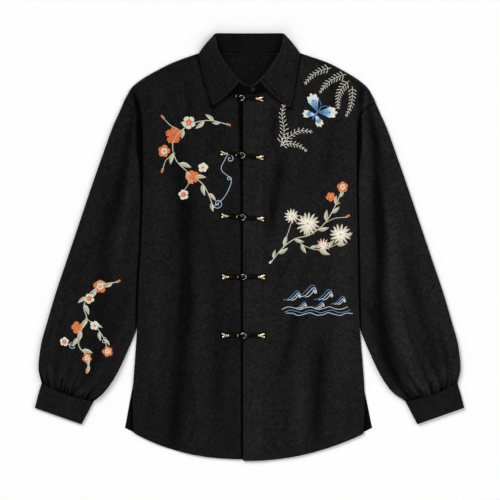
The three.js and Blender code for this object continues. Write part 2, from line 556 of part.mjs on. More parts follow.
// The leaf runs over the fold line and down to its outer edge.
function leafRow([side, t]) {
  const { c, apex, toLeaf, centre } = collarAt(side, t);
  const around = (radius, angle) =>
    centre
      .clone()
      .addScaledVector(apex, radius * Math.cos(angle))
      .addScaledVector(toLeaf, radius * Math.sin(angle));
  const outer = LEAF_ROLL.map((angle) => around(COLLAR_ROLL, angle));
  const inner = LEAF_ROLL.map((angle) => around(COLLAR_ROLL - COLLAR_WALL, angle));
  const start = outer[outer.length - 1];
  const down = c.clone().sub(start);
  const inward = toLeaf.clone().multiplyScalar(-1);
  inward.addScaledVector(down, -inward.dot(down) / down.lengthSq()).normalize();
  for (const share of LEAF_FALL) {
    const p = start.clone().addScaledVector(down, share);
    p.addScaledVector(inward, -LEAF_BELLY * Math.sin(Math.PI * share));
    const bow = LEAF_BOW.deep * smoothstep(t, LEAF_BOW.from, LEAF_END) * Math.sin(Math.PI * share);
    p.x += LEAF_BOW.x * bow * SIDES[side];
    p.y += LEAF_BOW.y * bow;
    outer.push(p);
    inner.push(p.clone().addScaledVector(inward, COLLAR_WALL));
  }
  return { outer, inner };
}
const leaf = collarStations(LEAF_END).map(leafRow);
add("collar_leaf", wall(leaf.map((row) => row.outer), leaf.map((row) => row.inner)), CLOTH_BLACK);

// The stand rises from the neck seam to just under the leaf's start. Its left end lies over its right end.
function standRow([side, t]) {
  const { a, apex, toLeaf, centre } = collarAt(side, t);
  const top = centre.clone().addScaledVector(toLeaf, -COLLAR_ROLL).addScaledVector(apex, -SEAM);
  const up = top.clone().sub(a);
  const inward = toLeaf.clone().multiplyScalar(-1);
  inward.addScaledVector(up, -inward.dot(up) / up.lengthSq()).normalize();
  const out = side === "left" ? STAND_OVERLAP * smoothstep(t, 11.2, 12.2) : 0;
  const outer = [0, 0.5, 1].map((share) => a.clone().addScaledVector(up, share).addScaledVector(inward, -out));
  const inner = outer.map((p) => p.clone().addScaledVector(inward, COLLAR_WALL));
  return { outer, inner };
}
const stand = collarStations(STAND_END).map(standRow);
add("collar_stand", wall(stand.map((row) => row.outer), stand.map((row) => row.inner)), CLOTH_BLACK);

// Height of the cloth under a fastening at x.
const clothUnder = (x) => {
  if (x >= EDGE_X) return x < EDGE_X + PLACKET_WIDTH ? PLACKET_TOP : BODY_LOFT;
  return lerp(BODY_LOFT, OVERLAP_Z.under, smoothstep(x, EDGE_X - DIP_WIDTH, EDGE_X - 2));
};

// A cord of an even round section along points, ended flat.
function cord(points) {
  const path = new THREE.CatmullRomCurve3(points.map((p) => new THREE.Vector3(...p)));
  const steps = points.length * 2;
  const frames = path.computeFrenetFrames(steps, false);
  const rings = [];
  for (let n = 0; n <= steps; n++) {
    const middle = path.getPointAt(n / steps);
    const ring = [];
    for (let k = 0; k < CORD_SIDES; k++) {
      const angle = (2 * Math.PI * k) / CORD_SIDES;
      const arm = frames.normals[n].clone().multiplyScalar(CORD_R * Math.cos(angle));
      ring.push(middle.clone().add(arm).addScaledVector(frames.binormals[n], CORD_R * Math.sin(angle)));
    }
    rings.push(ring);
  }
  const corners = rings.flat();
  const faces = [];
  for (let n = 0; n < steps; n++) {
    for (let k = 0; k < CORD_SIDES; k++) {
      const next = (k + 1) % CORD_SIDES;
      const [a, b] = [n * CORD_SIDES + k, n * CORD_SIDES + next];
      faces.push(a, b, b + CORD_SIDES, a, b + CORD_SIDES, a + CORD_SIDES);
    }
  }
  const last = steps * CORD_SIDES;
  for (let k = 1; k < CORD_SIDES - 1; k++) faces.push(0, k + 1, k, last, last + k, last + k + 1);
  const geometry = new THREE.BufferGeometry().setFromPoints(corners);
  geometry.setIndex(faces);
  return facingOut(geometry);
}

// A forked tip seen from above: a neck that opens into two round lobes.
function tipOutline() {
  const shape = new THREE.Shape();
  shape.moveTo(TIP.root, -TIP.neck);
  shape.lineTo(TIP.root, TIP.neck);
  const lobeX = TIP.end - TIP.lobe;
  for (const [from, to] of [[2.3, -1.2], [1.2, -2.3]]) {
    const up = from === 2.3 ? 1 : -1;
    for (let n = 0; n <= 6; n++) {
      const angle = lerp(from, to, n / 6);
      shape.lineTo(lobeX + TIP.lobe * Math.cos(angle), up * TIP.apart + TIP.lobe * Math.sin(angle));
    }
  }
  return shape;
}

FASTENINGS.forEach(({ x, y, tilt, swing }, index) => {
  const label = "fastening_" + (index + 1) + "_";
  const place = new THREE.Matrix4().makeTranslation(x, y, 0).multiply(new THREE.Matrix4().makeRotationZ(tilt));
  const swung = place.clone().multiply(new THREE.Matrix4().makeRotationZ(swing));
  const base = PLACKET_TOP + FASTENING_LIFT;
  const lie = (d) => clothUnder(x + d) + FASTENING_LIFT + CORD_R;
  const loopZ = base + CORD_R;
  const end = TIP.root - SEAM;
  const strand = (d, up) => [d, up * CORD_APART, Math.max(lie(d), d > -22 ? loopZ : 0)];

  const arc = [];
  for (let n = 1; n < 8; n++) {
    const angle = Math.PI - 0.45 - ((2 * Math.PI - 0.9) * n) / 8;
    arc.push([LOOP_R * Math.cos(angle), LOOP_R * Math.sin(angle), loopZ]);
  }
  const towards = [strand(-end, 1), strand(-20, 1), strand(-13, 1), [-8.4, 1.7, loopZ]];
  const away = [[-8.4, -1.7, loopZ], strand(-13, -1), strand(-20, -1), strand(-end, -1)];
  add(label + "loop", cord([...towards, ...arc, ...away]), CORD_BLACK, swung);

  const near = LOOP_R + 2 * CORD_R + SEAM;
  const tab = [[end, CORD_APART, lie(end)], [18, CORD_APART, loopZ], [near + 2.4, CORD_APART, loopZ]];
  const round = [[near + 0.9, 0, loopZ], ...[...tab].reverse().map(([d, up, z]) => [d, -up, z])];
  add(label + "tab", cord([...tab, ...round]), CORD_BLACK, place);

  for (const [name, turn] of [["tip_left", 0], ["tip_right", Math.PI]]) {
    const tip = new THREE.ExtrudeGeometry(tipOutline(), { depth: TIP.depth, bevelEnabled: false });
    const side = turn ? -1 : 1;
    const z = clothUnder(x + side * TIP.root) + FASTENING_LIFT;
    tip.applyMatrix4(new THREE.Matrix4().makeRotationZ(turn));
    const at = (turn ? swung : place).clone().multiply(new THREE.Matrix4().makeTranslation(0, 0, z));
    add(label + name, tip, PALE_GOLD, at);
  }

  const profile = [[0, 0], [0.7, 0], [1, 0.3], [1, 0.62], [0.72, 0.9], [0, 1]];
  const lathe = profile.map(([r, z]) => new THREE.Vector2(r * BUTTON.radius, z * BUTTON.height));
  const button = new THREE.LatheGeometry(lathe, 12).applyMatrix4(new THREE.Matrix4().makeRotationX(Math.PI / 2));
  const seat = place.clone().multiply(new THREE.Matrix4().makeTranslation(0, 0, base));
  add(label + "button", button, BUTTON_BLACK, seat);

  const ring = new THREE.TorusGeometry(BEZEL.radius, BEZEL.wire, 6, 18, 2 * Math.PI - BEZEL.opening);
  add(label + "bezel", closeEnds(ring, 6, 18), PALE_GOLD, seat
    .clone()
    .multiply(new THREE.Matrix4().makeTranslation(0, 0, BEZEL.wire))
    .multiply(new THREE.Matrix4().makeRotationZ(BEZEL.opening / 2 + BEZEL.turn)));

  const half = CORD_APART + CORD_R + SEAM;
  const staple = new THREE.Shape();
  const tall = 2 * CORD_R + SEAM;
  const out = half + BAND.wall;
  const corners = [[-out, 0], [-half, 0], [-half, tall], [half, tall], [half, 0], [out, 0]];
  [...corners, [out, tall + BAND.wall], [-out, tall + BAND.wall]].forEach(([u, v], n) =>
    n ? staple.lineTo(u, v) : staple.moveTo(u, v)
  );
  const band = new THREE.ExtrudeGeometry(staple, { depth: BAND.width, bevelEnabled: false });
  const stand = new THREE.Matrix4().makeBasis(
    new THREE.Vector3(0, 1, 0),
    new THREE.Vector3(0, 0, 1),
    new THREE.Vector3(1, 0, 0)
  );
  band.applyMatrix4(stand);
  const bandAt = new THREE.Matrix4().makeTranslation(BAND.at - BAND.width / 2, 0, base);
  add(label + "band", band, PALE_GOLD, swung.clone().multiply(bandAt));
});

// Closes the two open ends of a part torus.
function closeEnds(torus, radial, tubular) {
  const p = torus.getAttribute("position");
  const points = [];
  for (let k = 0; k < radial; k++) {
    for (let n = 0; n <= tubular; n++) points.push(new THREE.Vector3().fromBufferAttribute(p, k * (tubular + 1) + n));
  }
  const id = (k, n) => (k % radial) * (tubular + 1) + n;
  const faces = [];
  for (let k = 0; k < radial; k++) {
    for (let n = 0; n < tubular; n++) {
      faces.push(id(k, n), id(k + 1, n), id(k + 1, n + 1), id(k, n), id(k + 1, n + 1), id(k, n + 1));
    }
  }
  for (let k = 1; k < radial - 1; k++) {
    faces.push(id(0, 0), id(k + 1, 0), id(k, 0), id(0, tubular), id(k, tubular), id(k + 1, tubular));
  }
  const geometry = new THREE.BufferGeometry().setFromPoints(points);
  geometry.setIndex(faces);
  return facingOut(geometry);
}

// The collar button lies on the stand's overlap, tipped with it.
const standAt = standRow(["left", 12.4]);
const low = standAt.outer[0];
const high = standAt.outer[2];
const lean = Math.atan2(high.z - low.z, Math.hypot(high.x - low.x, high.y - low.y));
const profile = [[0, 0], [0.86, 0], [1, 0.35], [0.97, 0.8], [0.8, 1], [0, 0.72]];
const disc = new THREE.LatheGeometry(
  profile.map(([r, z]) => new THREE.Vector2(r * COLLAR_BUTTON.radius, z * COLLAR_BUTTON.height)),
  20
).applyMatrix4(new THREE.Matrix4().makeRotationX(Math.PI / 2));
const standZ = lerp(low.z, high.z, (COLLAR_BUTTON.y - low.y) / (high.y - low.y));
const buttonAt = new THREE.Matrix4()
  .makeTranslation(COLLAR_BUTTON.x, COLLAR_BUTTON.y, standZ)
  .multiply(new THREE.Matrix4().makeRotationX(lean))
  .multiply(new THREE.Matrix4().makeTranslation(0, 0, COLLAR_BUTTON.lift + 0.6));
add("collar_button", disc, BUTTON_BLACK, buttonAt);

export default shirt;
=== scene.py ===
import math

import bpy
import numpy as np
from mathutils import Matrix, Vector
from mathutils.bvhtree import BVHTree


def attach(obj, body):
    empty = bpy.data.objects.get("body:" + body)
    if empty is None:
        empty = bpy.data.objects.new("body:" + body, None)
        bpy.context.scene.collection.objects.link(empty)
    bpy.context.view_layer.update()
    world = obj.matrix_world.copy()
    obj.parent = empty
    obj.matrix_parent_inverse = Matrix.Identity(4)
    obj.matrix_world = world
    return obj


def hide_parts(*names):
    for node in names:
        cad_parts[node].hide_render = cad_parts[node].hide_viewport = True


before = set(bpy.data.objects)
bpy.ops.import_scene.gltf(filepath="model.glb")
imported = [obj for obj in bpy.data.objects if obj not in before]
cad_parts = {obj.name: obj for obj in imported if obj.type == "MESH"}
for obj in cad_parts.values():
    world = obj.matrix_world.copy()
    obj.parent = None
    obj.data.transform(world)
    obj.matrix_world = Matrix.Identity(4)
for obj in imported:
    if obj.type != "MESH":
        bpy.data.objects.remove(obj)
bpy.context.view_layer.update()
MM = 0.001
FINE = 1.0

# Driving sizes in millimetres, the same as the solids have
CLOTH = 1.2
RIDGE_WALL = 3.0
SEAM = 0.35
LAYER_GAP = 3.8
BODY_LOFT = 5.1
SIDE_ROLL = 3.2
TUCK = 9.6
STAND_UP, STAND_UP_REACH = 2.6, 22.0
SLEEVE_REST = 4.6
EDGE_X = -12.0
UNDERLAP_X = 10.0
PLACKET_WIDTH = 37.0
OVER_Z, UNDER_Z = 4.5, 2.9
LOWEST_FRONT = 3.2
LOWEST_SLEEVE = 3.8
DIP_WIDTH = 11.0
PLACKET_WALL = 1.4
PLACKET_TOP = OVER_Z + SEAM + PLACKET_WALL
COLLAR_WALL = 1.6
COLLAR_ROLL = 2.6
CUFF_WALL = 1.8
CUFF_HEIGHT = 7.0
CUFF_DEPTH, CUFF_STITCH = 47.0, 5.0
PLACKET_STITCH, LEAF_STITCH, STAND_STITCH, VENT_STITCH, SHOULDER_STITCH = 1.8, 5.5, 2.2, 8.0, 13.0
NECK_GAP = 1.3
HEM_Y = -395.0
HEM_FADE_Y = -281.0
HEM_BAND, HEM_STITCH = 22.0, 11.0
FRONT_TOP_Y, PLACKET_TOP_Y = 353.0, 279.5
FRONT_ROLL = 2.2
HEM_CURVE = {"right": (-393.5, 49.0, 2.4), "left": (-396.3, 50.0, 2.0)}
BACK_HEM = (-386.0, 51.0, 2.4)
BACK_ROWS_Y = (-386, -310, 325, 359.6)
BACK_HALF = {"right": 231.0, "left": 227.0}
VENT_TOP = {"right": (-250.0, 214.6), "left": (-262.0, 211.8)}
VENT_FOOT = {"right": (-335.8, 230.5), "left": (-335.2, 226.9)}
BACK_NECK_Y, BACK_NECK_RISE, BACK_NECK_HALF = 359.4, 1.5, 79.0
SIDES = {"right": -1.0, "left": 1.0}


def dense(count):
    """How many rows or columns a grid gets."""
    return int(count / FINE)


def table(columns, *rows):
    """Rows under named columns, as a dict of arrays."""
    return {name: np.array([r[k] for r in rows], float) for k, name in enumerate(columns.split())}


def curve(rows, key, column):
    """A column of a table as a smooth function of its key column, which never overshoots."""
    xs, ys = rows[key], rows[column]
    slope = np.diff(ys) / np.diff(xs)
    m = np.zeros(len(xs))
    m[0], m[-1] = slope[0], slope[-1]
    a, b = slope[:-1], slope[1:]
    both = a * b > 0
    m[1:-1][both] = 2 * a[both] * b[both] / (a[both] + b[both])

    def at(x):
        x = np.clip(np.asarray(x, float), xs[0], xs[-1])
        i = np.clip(np.searchsorted(xs, x, side="right") - 1, 0, len(xs) - 2)
        h = xs[i + 1] - xs[i]
        t = (x - xs[i]) / h
        rise = ys[i + 1] - ys[i]
        m0, m1 = m[i] * h, m[i + 1] * h
        return ys[i] + t * (m0 + t * (3 * rise - 2 * m0 - m1 + t * (m0 + m1 - 2 * rise)))

    return at


def ease(x, a, b):
    t = np.clip((np.asarray(x, float) - a) / (b - a), 0, 1)
    return t * t * (3 - 2 * t)


def between(x, a, b, c, d):
    """1 from b to c, 0 before a and after d, and smooth on the way."""
    return ease(x, a, b) * (1 - ease(x, c, d))


def bell(x, middle, half):
    return np.exp(-(((x - middle) / half) ** 2))


def lerp(a, b, t):
    return a + (b - a) * t


def trough(x, y, rows):
    """Height that all the troughs of a table take away at (x, y)."""
    total = 0.0
    for k in range(len(rows["x0"])):
        x0, y0, x1, y1, half, deep = (rows[c][k] for c in ("x0", "y0", "x1", "y1", "half", "deep"))
        dx, dy = x1 - x0, y1 - y0
        length = math.hypot(dx, dy)
        along = ((x - x0) * dx + (y - y0) * dy) / length**2
        across = ((x - x0) * dy - (y - y0) * dx) / length
        fade = between(along, -0.25, 0.2, 0.8, 1.25)
        total = total + deep * fade * bell(across, 0, half)
    return total


def ripple(x, y, seed, short, long, height, waves=12):
    """Slow unevenness of hand-laid cloth."""
    r = np.random.default_rng(seed)
    total = 0.0
    for _ in range(waves):
        wave = r.uniform(short, long)
        angle = r.normal(0.0, 0.55)
        phase = r.uniform(0, 2 * math.pi)
        along = x * math.cos(angle) + y * math.sin(angle)
        total = total + np.sin(2 * math.pi * along / wave + phase) * wave
    return height * total / ((short + long) / 2 * math.sqrt(waves / 2))


BODY_EDGE = table(
    "y right left turn",
    (-347, 214.5, 211, 0), (-280, 215.8, 213, 0), (-262, 215.6, 212.5, 1), (-217, 212.6, 209.5, 1),
    (-143, 207.5, 203.6, 1), (-60, 204.5, 201, 1), (14, 200, 200, 1), (143, 196.5, 198, 1),
    (217, 197.5, 198.8, 1), (240, 201.5, 202, 1), (250, 208.5, 208.5, 0.3), (259, 217.5, 217.5, 0),
    (270, 230.5, 231, 0), (279, 226.6, 227, 1), (288, 222, 222.4, 1), (296, 215.8, 216.2, 1),
    (310, 198, 199, 1), (325, 172, 174, 1), (340, 142, 145, 1), (353, 107, 108, 1), (360.5, 85, 85, 1),
)
EDGE = {side: curve(BODY_EDGE, "y", side) for side in SIDES}
EDGE_TURN = curve(BODY_EDGE, "y", "turn")

FOLD = "x0 y0 x1 y1 half deep"
FRONT_FOLDS = {
    "right": table(
        FOLD,
        (-136, 190, -118, 60, 17, 2.2), (-118, 70, -117, -130, 15, 3), (-118, -110, -142, -375, 16, 2.8),
        (-88, -40, -92, -350, 13, -1.6), (-166, 120, -172, -240, 17, -1.4), (-71, 262, -62, 175, 10, 1.6),
        (-214, 296, -200, 256, 6, 1.2), (-60, -90, -56, -330, 11, 1.4),
    ),
    "left": table(
        FOLD,
        (60, 165, 38, 30, 12, 2.6), (46, 250, 44, 180, 10, 1.8), (155, 305, 154, 250, 10, 1.6),
        (158, 235, 140, 130, 14, 1.6), (90, -120, 58, -240, 12, 2.2), (132, -180, 122, -360, 14, 2.8),
        (94, -220, 90, -370, 12, -1.5), (172, 60, 176, -260, 16, -1.4), (214, 296, 201, 256, 6, 1.2),
        (86, -6, 56, -62, 7, 1.4),
    ),
}
# Smaller creases, listed one by one
SMALL_FOLDS = {
    "right": table(
        FOLD,
        (-92, 322, -96, 262, 7, -0.5), (-112, 312, -110, 240, 6, 0.5), (-70, 240, -62, 186, 5, -0.6),
        (-56, 250, -52, 196, 4, 0.6), (-50, 160, -84, 128, 4, 0.5), (-52, 176, -92, 186, 3.5, 0.4),
        (-52, 46, -86, 22, 4, 0.4), (-50, -62, -80, -84, 3.5, 0.4), (-48, 236, -40, 160, 5, 0.5),
        (-98, 282, -128, 222, 7, 0.6), (-150, 262, -186, 226, 7, 0.7), (-182, 268, -196, 222, 5, 0.6),
        (-34, 90, -44, 10, 6, 0.5), (-74, 20, -66, -60, 7, 0.5), (-180, 20, -160, -60, 9, 0.6),
        (-150, -150, -166, -250, 8, 0.7), (-36, -140, -48, -240, 6, 0.5), (-104, -250, -98, -360, 6, 0.6),
        (-176, -250, -190, -330, 8, 0.6), (-30, -300, -34, -372, 5, 0.4), (-90, 150, -104, 90, 8, 0.45),
        (-160, 190, -152, 130, 8, 0.5), (-128, 330, -156, 312, 6, 0.5),
    ),
    "left": table(
        FOLD,
        (44, 262, 48, 214, 4, 0.6), (56, 258, 56, 204, 4, -0.5), (88, 262, 84, 200, 5, -0.5),
        (98, 254, 96, 196, 4, 0.5), (30, 158, 60, 128, 3.5, 0.4), (32, 44, 62, 20, 3.5, 0.4),
        (32, -66, 58, -92, 3.5, 0.4), (72, 258, 70, 190, 5, 0.5), (100, 300, 122, 240, 7, 0.6),
        (184, 272, 197, 224, 5, 0.7), (112, 190, 96, 110, 8, 0.6), (150, 90, 138, 10, 9, 0.6),
        (48, -20, 62, -90, 6, 0.6), (112, -30, 84, -110, 8, 0.7), (160, -90, 150, -170, 8, 0.5),
        (60, -260, 70, -350, 6, 0.5), (176, -250, 186, -330, 8, 0.6), (108, -300, 104, -372, 5, 0.5),
        (40, -330, 44, -380, 5, 0.4), (150, 332, 172, 306, 6, 0.5), (34, 118, 44, 60, 5, 0.5),
        (80, 60, 92, 20, 7, 0.4),
    ),
}


def hem_y(curve_row, x, half):
    low, rise, power = curve_row
    return low + rise * np.abs(x / half) ** power


def with_hem(side, level, x):
    """Where straight rows lie at x once the lowest of them follow the hem's curve."""
    follow = np.clip((HEM_FADE_Y - level) / (HEM_FADE_Y - HEM_Y), 0, 1)
    return level + follow * (hem_y(HEM_CURVE[side], x, BODY_EDGE[side][0]) - HEM_Y)


def front_top(side, x, y):
    """Top of a front over the floor at (x, y), before its edge turns down."""
    distance = EDGE[side](y) - np.abs(x)
    stand_up = between(y, -190, -120, 268, 290)
    z = BODY_LOFT + STAND_UP * stand_up * np.exp(-np.maximum(distance, 0) / STAND_UP_REACH)
    z = z - trough(x, y, FRONT_FOLDS[side])
    calm = ease(distance, 0, 16)
    z = z - calm * trough(x, y, SMALL_FOLDS[side])
    z = z + calm * ripple(x, y, 3 if side == "left" else 4, 34, 90, 0.2)
    z = np.maximum(z, LOWEST_FRONT)
    if side == "right":
        flat = ease(x, EDGE_X - DIP_WIDTH, EDGE_X - 2)
        return lerp(z, UNDER_Z, flat)
    # beside the band the cloth comes up level with it, as both are one sewn layer
    inside = EDGE_X + PLACKET_WIDTH
    level = lerp(PLACKET_TOP - 0.12, z, ease(x, inside, inside + 14))
    return np.where(x < inside - 1.2, OVER_Z, level)


def hem_pucker(side, x, y):
    """Small slanted puckers between the hem's edge and its stitch line."""
    up = y - hem_y(HEM_CURVE[side], x, BODY_EDGE[side][0])
    band = between(up, -1, 2.5, 9, 18)
    slant = x + 0.5 * up
    uneven = 0.6 + 0.4 * np.sin(slant / 31.0)
    groove = -0.35 * bell(up, HEM_STITCH, 1.1)
    return band * 0.22 * uneven * np.sin(slant * 2 * math.pi / 9.3 + np.sin(slant / 17)) + groove


COLLAR_COLUMNS = "t ax ay az bx by bz cx cy cz"
COLLAR = table(
    COLLAR_COLUMNS,
    (0, 0, 357.4, 1.6, 0, 393.4, 12.5, 0, 361, 0.2),
    (1, 26, 357.9, 1.6, 26, 393.4, 12.8, 30, 361.4, 0.2),
    (2, 50, 359.2, 1.6, 46, 393.4, 14.8, 55, 362.6, 0.2),
    (3, 66, 360.6, 1.8, 57, 393.2, 17, 75, 363.6, 0.3),
    (4, 75, 361.4, 2.6, 62, 391.6, 20, 86, 362.5, 1.8),
    (5, 80.2, 358.6, 4, 63.6, 387.6, 22.5, 93.8, 356.8, 6.2),
    (6, 80.8, 351, 5, 62.4, 381.6, 24.3, 92.6, 348, 8.4),
    (7, 78.6, 340, 5, 59.2, 368, 26, 88.6, 331, 8.2),
    (8, 72.6, 324, 5, 52.3, 352.2, 26.5, 83.5, 310, 7.8),
    (9, 62.4, 309, 5, 42.1, 336, 26, 78, 291.5, 7.4),
    (10, 48, 296, 5, 30.6, 320.8, 24.5, 72.5, 275, 7.2),
    (11, 32, 287, 5, 15.6, 306.6, 22, 66.3, 260.8, 7.2),
    (12, 16, 282.4, 4.8, 7.3, 301.8, 19.5, 40, 272, 7.2),
    (13, 0, 281.2, 4.8, 0, 298.6, 18, 4, 266, 7.2),
)
NECK_ROWS = {c: COLLAR[c][:4:-1] for c in ("ax", "ay")}
NECKLINE_Y = NECK_ROWS["ay"]
NECK_X = curve(NECK_ROWS, "ay", "ax")

# Collar: neck seam (a), fold line (b) and outer edge (c) of one half
COLLAR_AT = {c: curve(COLLAR, "t", c) for c in COLLAR_COLUMNS.split()[1:]}
LEAF_END = 11.0
STATION = 14.0  # millimetres from one station of the table to the next, near the leaf's front edge
LEAF_SHIFT = {"right": 0.0, "left": 7.1}
BOW_FROM, BOW_DEEP, BOW_X, BOW_Y = 9.6, 3.2, -0.67, -0.74
STAND_END = 12.7
STAND_OVERLAP = 2.3
LEAF_ROLL_END = 1.5
LEAF_BELLY = 1.2


def unit(v):
    return v / np.linalg.norm(v, axis=-1, keepdims=True)


def dot(a, b):
    return np.sum(a * b, -1, keepdims=True)


def collar_at(t):
    """Collar lines at signed stations: below 0 on the right side, above on the left."""
    side = np.where(t < 0, -1.0, 1.0)
    t_abs = np.abs(t)
    # the left point lies a little further out
    shift = np.where(t < 0, LEAF_SHIFT["right"], LEAF_SHIFT["left"]) * ease(t_abs, 6, LEAF_END)

    def point(n, out=0.0):
        px, py, pz = (COLLAR_AT[n + axis](t_abs) for axis in "xyz")
        return stack((px + out) * side, py - out * 0.6, pz)

    a, b, c = point("a"), point("b"), point("c", shift)
    apex = unit(2 * b - a - c)
    to_leaf = c - a
    to_leaf = unit(to_leaf - apex * dot(to_leaf, apex))
    return a, c, apex, to_leaf, b - apex * COLLAR_ROLL


# The middle of each fastening, its tilt, and how far its loop swings up from there to lie under the collar
FASTENINGS = table(
    "x y tilt swing",
    (-14.8, 274.6, -0.055, -0.32), (-13.7, 168.2, -0.114, 0), (-12.6, 53.9, -0.08, 0), (-11, -56.2, 0, 0),
    (-11, -164.5, 0, 0),
)
LOOP_R = 6.5

# Painted shade, which the cloth's colour adds to the real shade. The valley between body and sleeve: how wide
# it is
VALLEY_DARK = table(
    "y right left",
    (-190, 3, 2.6), (-100, 4.8, 4.2), (60, 4.6, 4), (86, 4.8, 4), (110, 5.8, 4.4), (140, 8, 5.5),
    (162, 11, 7.2), (186, 14, 9.6), (210, 13.4, 10.2), (228, 12.5, 9), (240, 6, 6), (250, 1, 2),
    (258, 0.3, 0.5), (285, 0.3, 0.3),
)
VALLEY_SHADE = 0.1
PLACKET_SHADE = 0.12
PLACKET_SHADOW = table("y width", (-395, 4.8), (0, 5.6), (120, 6.6), (200, 8.5), (270, 10.5))
COLLAR_SHADE, COLLAR_SHADE_WIDE, OPENING_SHADE_WIDE = 0.3, {"right": 10.0, "left": 5.5}, 12.0
FASTENING_SHADE, FASTENING_SHADE_FROM, FASTENING_SHADE_TO = 0.2, 0.3, 3.4
CORDS_REACH, CORDS_HALF, TIPS_REACH, TIPS_HALF, TIPS_AWAY = 27.0, 1.6, 42.0, 4.2, 1.2


def fold_painted_light(depth, most=0.62):
    """Painted shade for cloth that is depth millimetres down in a fold, and painted light over 1 on a ridge.
    """
    return np.clip(1 - most * depth / 3, 1 - most, 1 + 0.5 * most)


ARMHOLE_SHADOW = {
    "right": table(FOLD, (-168, 286, -174, 236, 7, -0.8), (-186, 292, -192, 250, 5, 0.5)),
    "left": table(
        FOLD,
        (208, 296, 204, 240, 5.5, 2.6), (214.5, 290, 213, 250, 3.2, -1.2), (224, 291, 221, 258, 3, 1.7),
        (186, 270, 190, 214, 6, -0.8),
    ),
}
# Painted shade of the fold that runs down from the right shoulder's tip, over front and sleeve: its outer and
# inner edge
TIP_FOLD = table(
    "y outer inner",
    (225, 209, 190), (234, 209, 196), (247, 210, 199.3), (262, 213.1, 203), (276.6, 215.2, 208.5),
    (287, 216, 214.4),
)
TIP_FOLD_OUT = curve(TIP_FOLD, "y", "outer")
TIP_FOLD_IN = curve(TIP_FOLD, "y", "inner")
TIP_FOLD_SHADE = 0.86
SHOULDER_SEAM, SHOULDER_SEAM_HALF, SHOULDER_LIGHT, SHOULDER_DARK = 5.6, 0.9, 0.35, 0.6


# Painted shade in the fold down from the right shoulder's tip
def painted_tip_fold_shade(x, y):
    far = np.abs(x)
    outer, inner = TIP_FOLD_OUT(y), TIP_FOLD_IN(y)
    inside = between(far, inner - 1.8, inner + 1.8, outer - 2.5, outer + 2)
    return 1 - TIP_FOLD_SHADE * inside * between(y, 226, 240, 281, 288)


def shoulder_seam(side, x, y):
    """Painted shade on the shoulder seam's line a little before the fold of the shoulder, with painted light
    on the cloth between.
    """
    inside = 0.5 * (EDGE[side](y) - np.abs(x))
    here = ease(y, 291, 299)
    line = bell(inside, SHOULDER_SEAM, SHOULDER_SEAM_HALF)
    before = 1 - ease(inside, SHOULDER_SEAM - 2, SHOULDER_SEAM)
    return 1 + here * (SHOULDER_LIGHT * before - SHOULDER_DARK * line)


def clearance(x, y, line):
    """Distance in plan from each point to a line of close points."""
    near = np.full(np.shape(x), np.inf)
    for px, py in line:
        near = np.minimum(near, np.hypot(x - px, y - py))
    return near


def under_collar(x, y):
    """Less light reaches the cloth close round the collar, least on the wearer's right and at its opening."""
    painted_light = 1.0
    for side, sign in SIDES.items():
        t = np.linspace(5.0, LEAF_END, 60) * sign
        _, c, _, _, centre = collar_at(t)
        front = np.linspace(c[-1], centre[-1], 24)
        for line, wide in ((c, COLLAR_SHADE_WIDE[side]), (front, OPENING_SHADE_WIDE)):
            painted_light = painted_light * lerp(COLLAR_SHADE, 1, ease(clearance(x, y, line[:, :2]), 0.5, wide))
    return painted_light


def beside_fastenings(x, y):
    """The dark line of shade round every cord, button and tip."""
    near = np.full(np.shape(x), np.inf)
    for k in range(len(FASTENINGS["x"])):
        dx, dy = x - FASTENINGS["x"][k], y - FASTENINGS["y"][k]
        angle = FASTENINGS["tilt"][k] + np.where(dx < 0, FASTENINGS["swing"][k], 0.0)
        d, o = dx * np.cos(angle) + dy * np.sin(angle), np.abs(dy * np.cos(angle) - dx * np.sin(angle))
        for reach, half, away in ((CORDS_REACH, CORDS_HALF, 0.0), (TIPS_REACH, TIPS_HALF, TIPS_AWAY)):
            past = np.hypot(np.maximum(np.abs(d) - reach, 0), np.maximum(o - half, 0))
            near = np.minimum(near, away + past)
        near = np.minimum(near, np.maximum(np.hypot(d, o) - LOOP_R - 0.6, 0))
    return lerp(FASTENING_SHADE, 1, ease(near, FASTENING_SHADE_FROM, FASTENING_SHADE_TO))


# Painted light and shade on a front: painted shade in its folds, round the armhole, beside the placket, round
# the collar and fastenings, and in the fold from the right shoulder's tip; painted light on ridges and beside
# the shoulder seam.
def front_painted_light(side, x, y):
    painted_light = fold_painted_light(trough(x, y, FRONT_FOLDS[side]) + 1.3 * trough(x, y, SMALL_FOLDS[side]))
    painted_light = painted_light * fold_painted_light(trough(x, y, ARMHOLE_SHADOW[side]), 0.8) * shoulder_seam(side, x, y)
    painted_light = painted_light * under_collar(x, y) * beside_fastenings(x, y)
    if side == "right":
        wide = curve(PLACKET_SHADOW, "y", "width")(y)
        painted_light = painted_light * lerp(PLACKET_SHADE, 1, ease(EDGE_X - x, 0.6 * wide, 1.25 * wide)) * painted_tip_fold_shade(x, y)
    return painted_light


def front_wall(z):
    return np.clip(z - CLOTH - LAYER_GAP, CLOTH, RIDGE_WALL)


# Building meshes
def add_mesh(name, points, loops, sizes, mat, label=None, values=None):
    """A smooth object: points in millimetres, its faces' corners in one run, how many each face has, and
    the values of an attribute that its material reads."""
    data = bpy.data.meshes.new(name)
    data.vertices.add(len(points))
    data.vertices.foreach_set("co", (np.asarray(points, float) * MM).ravel())
    data.loops.add(len(loops))
    data.loops.foreach_set("vertex_index", loops)
    data.polygons.add(len(sizes))
    data.polygons.foreach_set("loop_start", np.concatenate([[0], np.cumsum(sizes)[:-1]]))
    data.update(calc_edges=True)
    data.validate()
    data.shade_smooth()
    if label:
        data.attributes.new(label, "FLOAT", "POINT").data.foreach_set("value", np.asarray(values, float))
    data.materials.append(mat)
    obj = bpy.data.objects.new(name, data)
    bpy.context.scene.collection.objects.link(obj)
    return obj


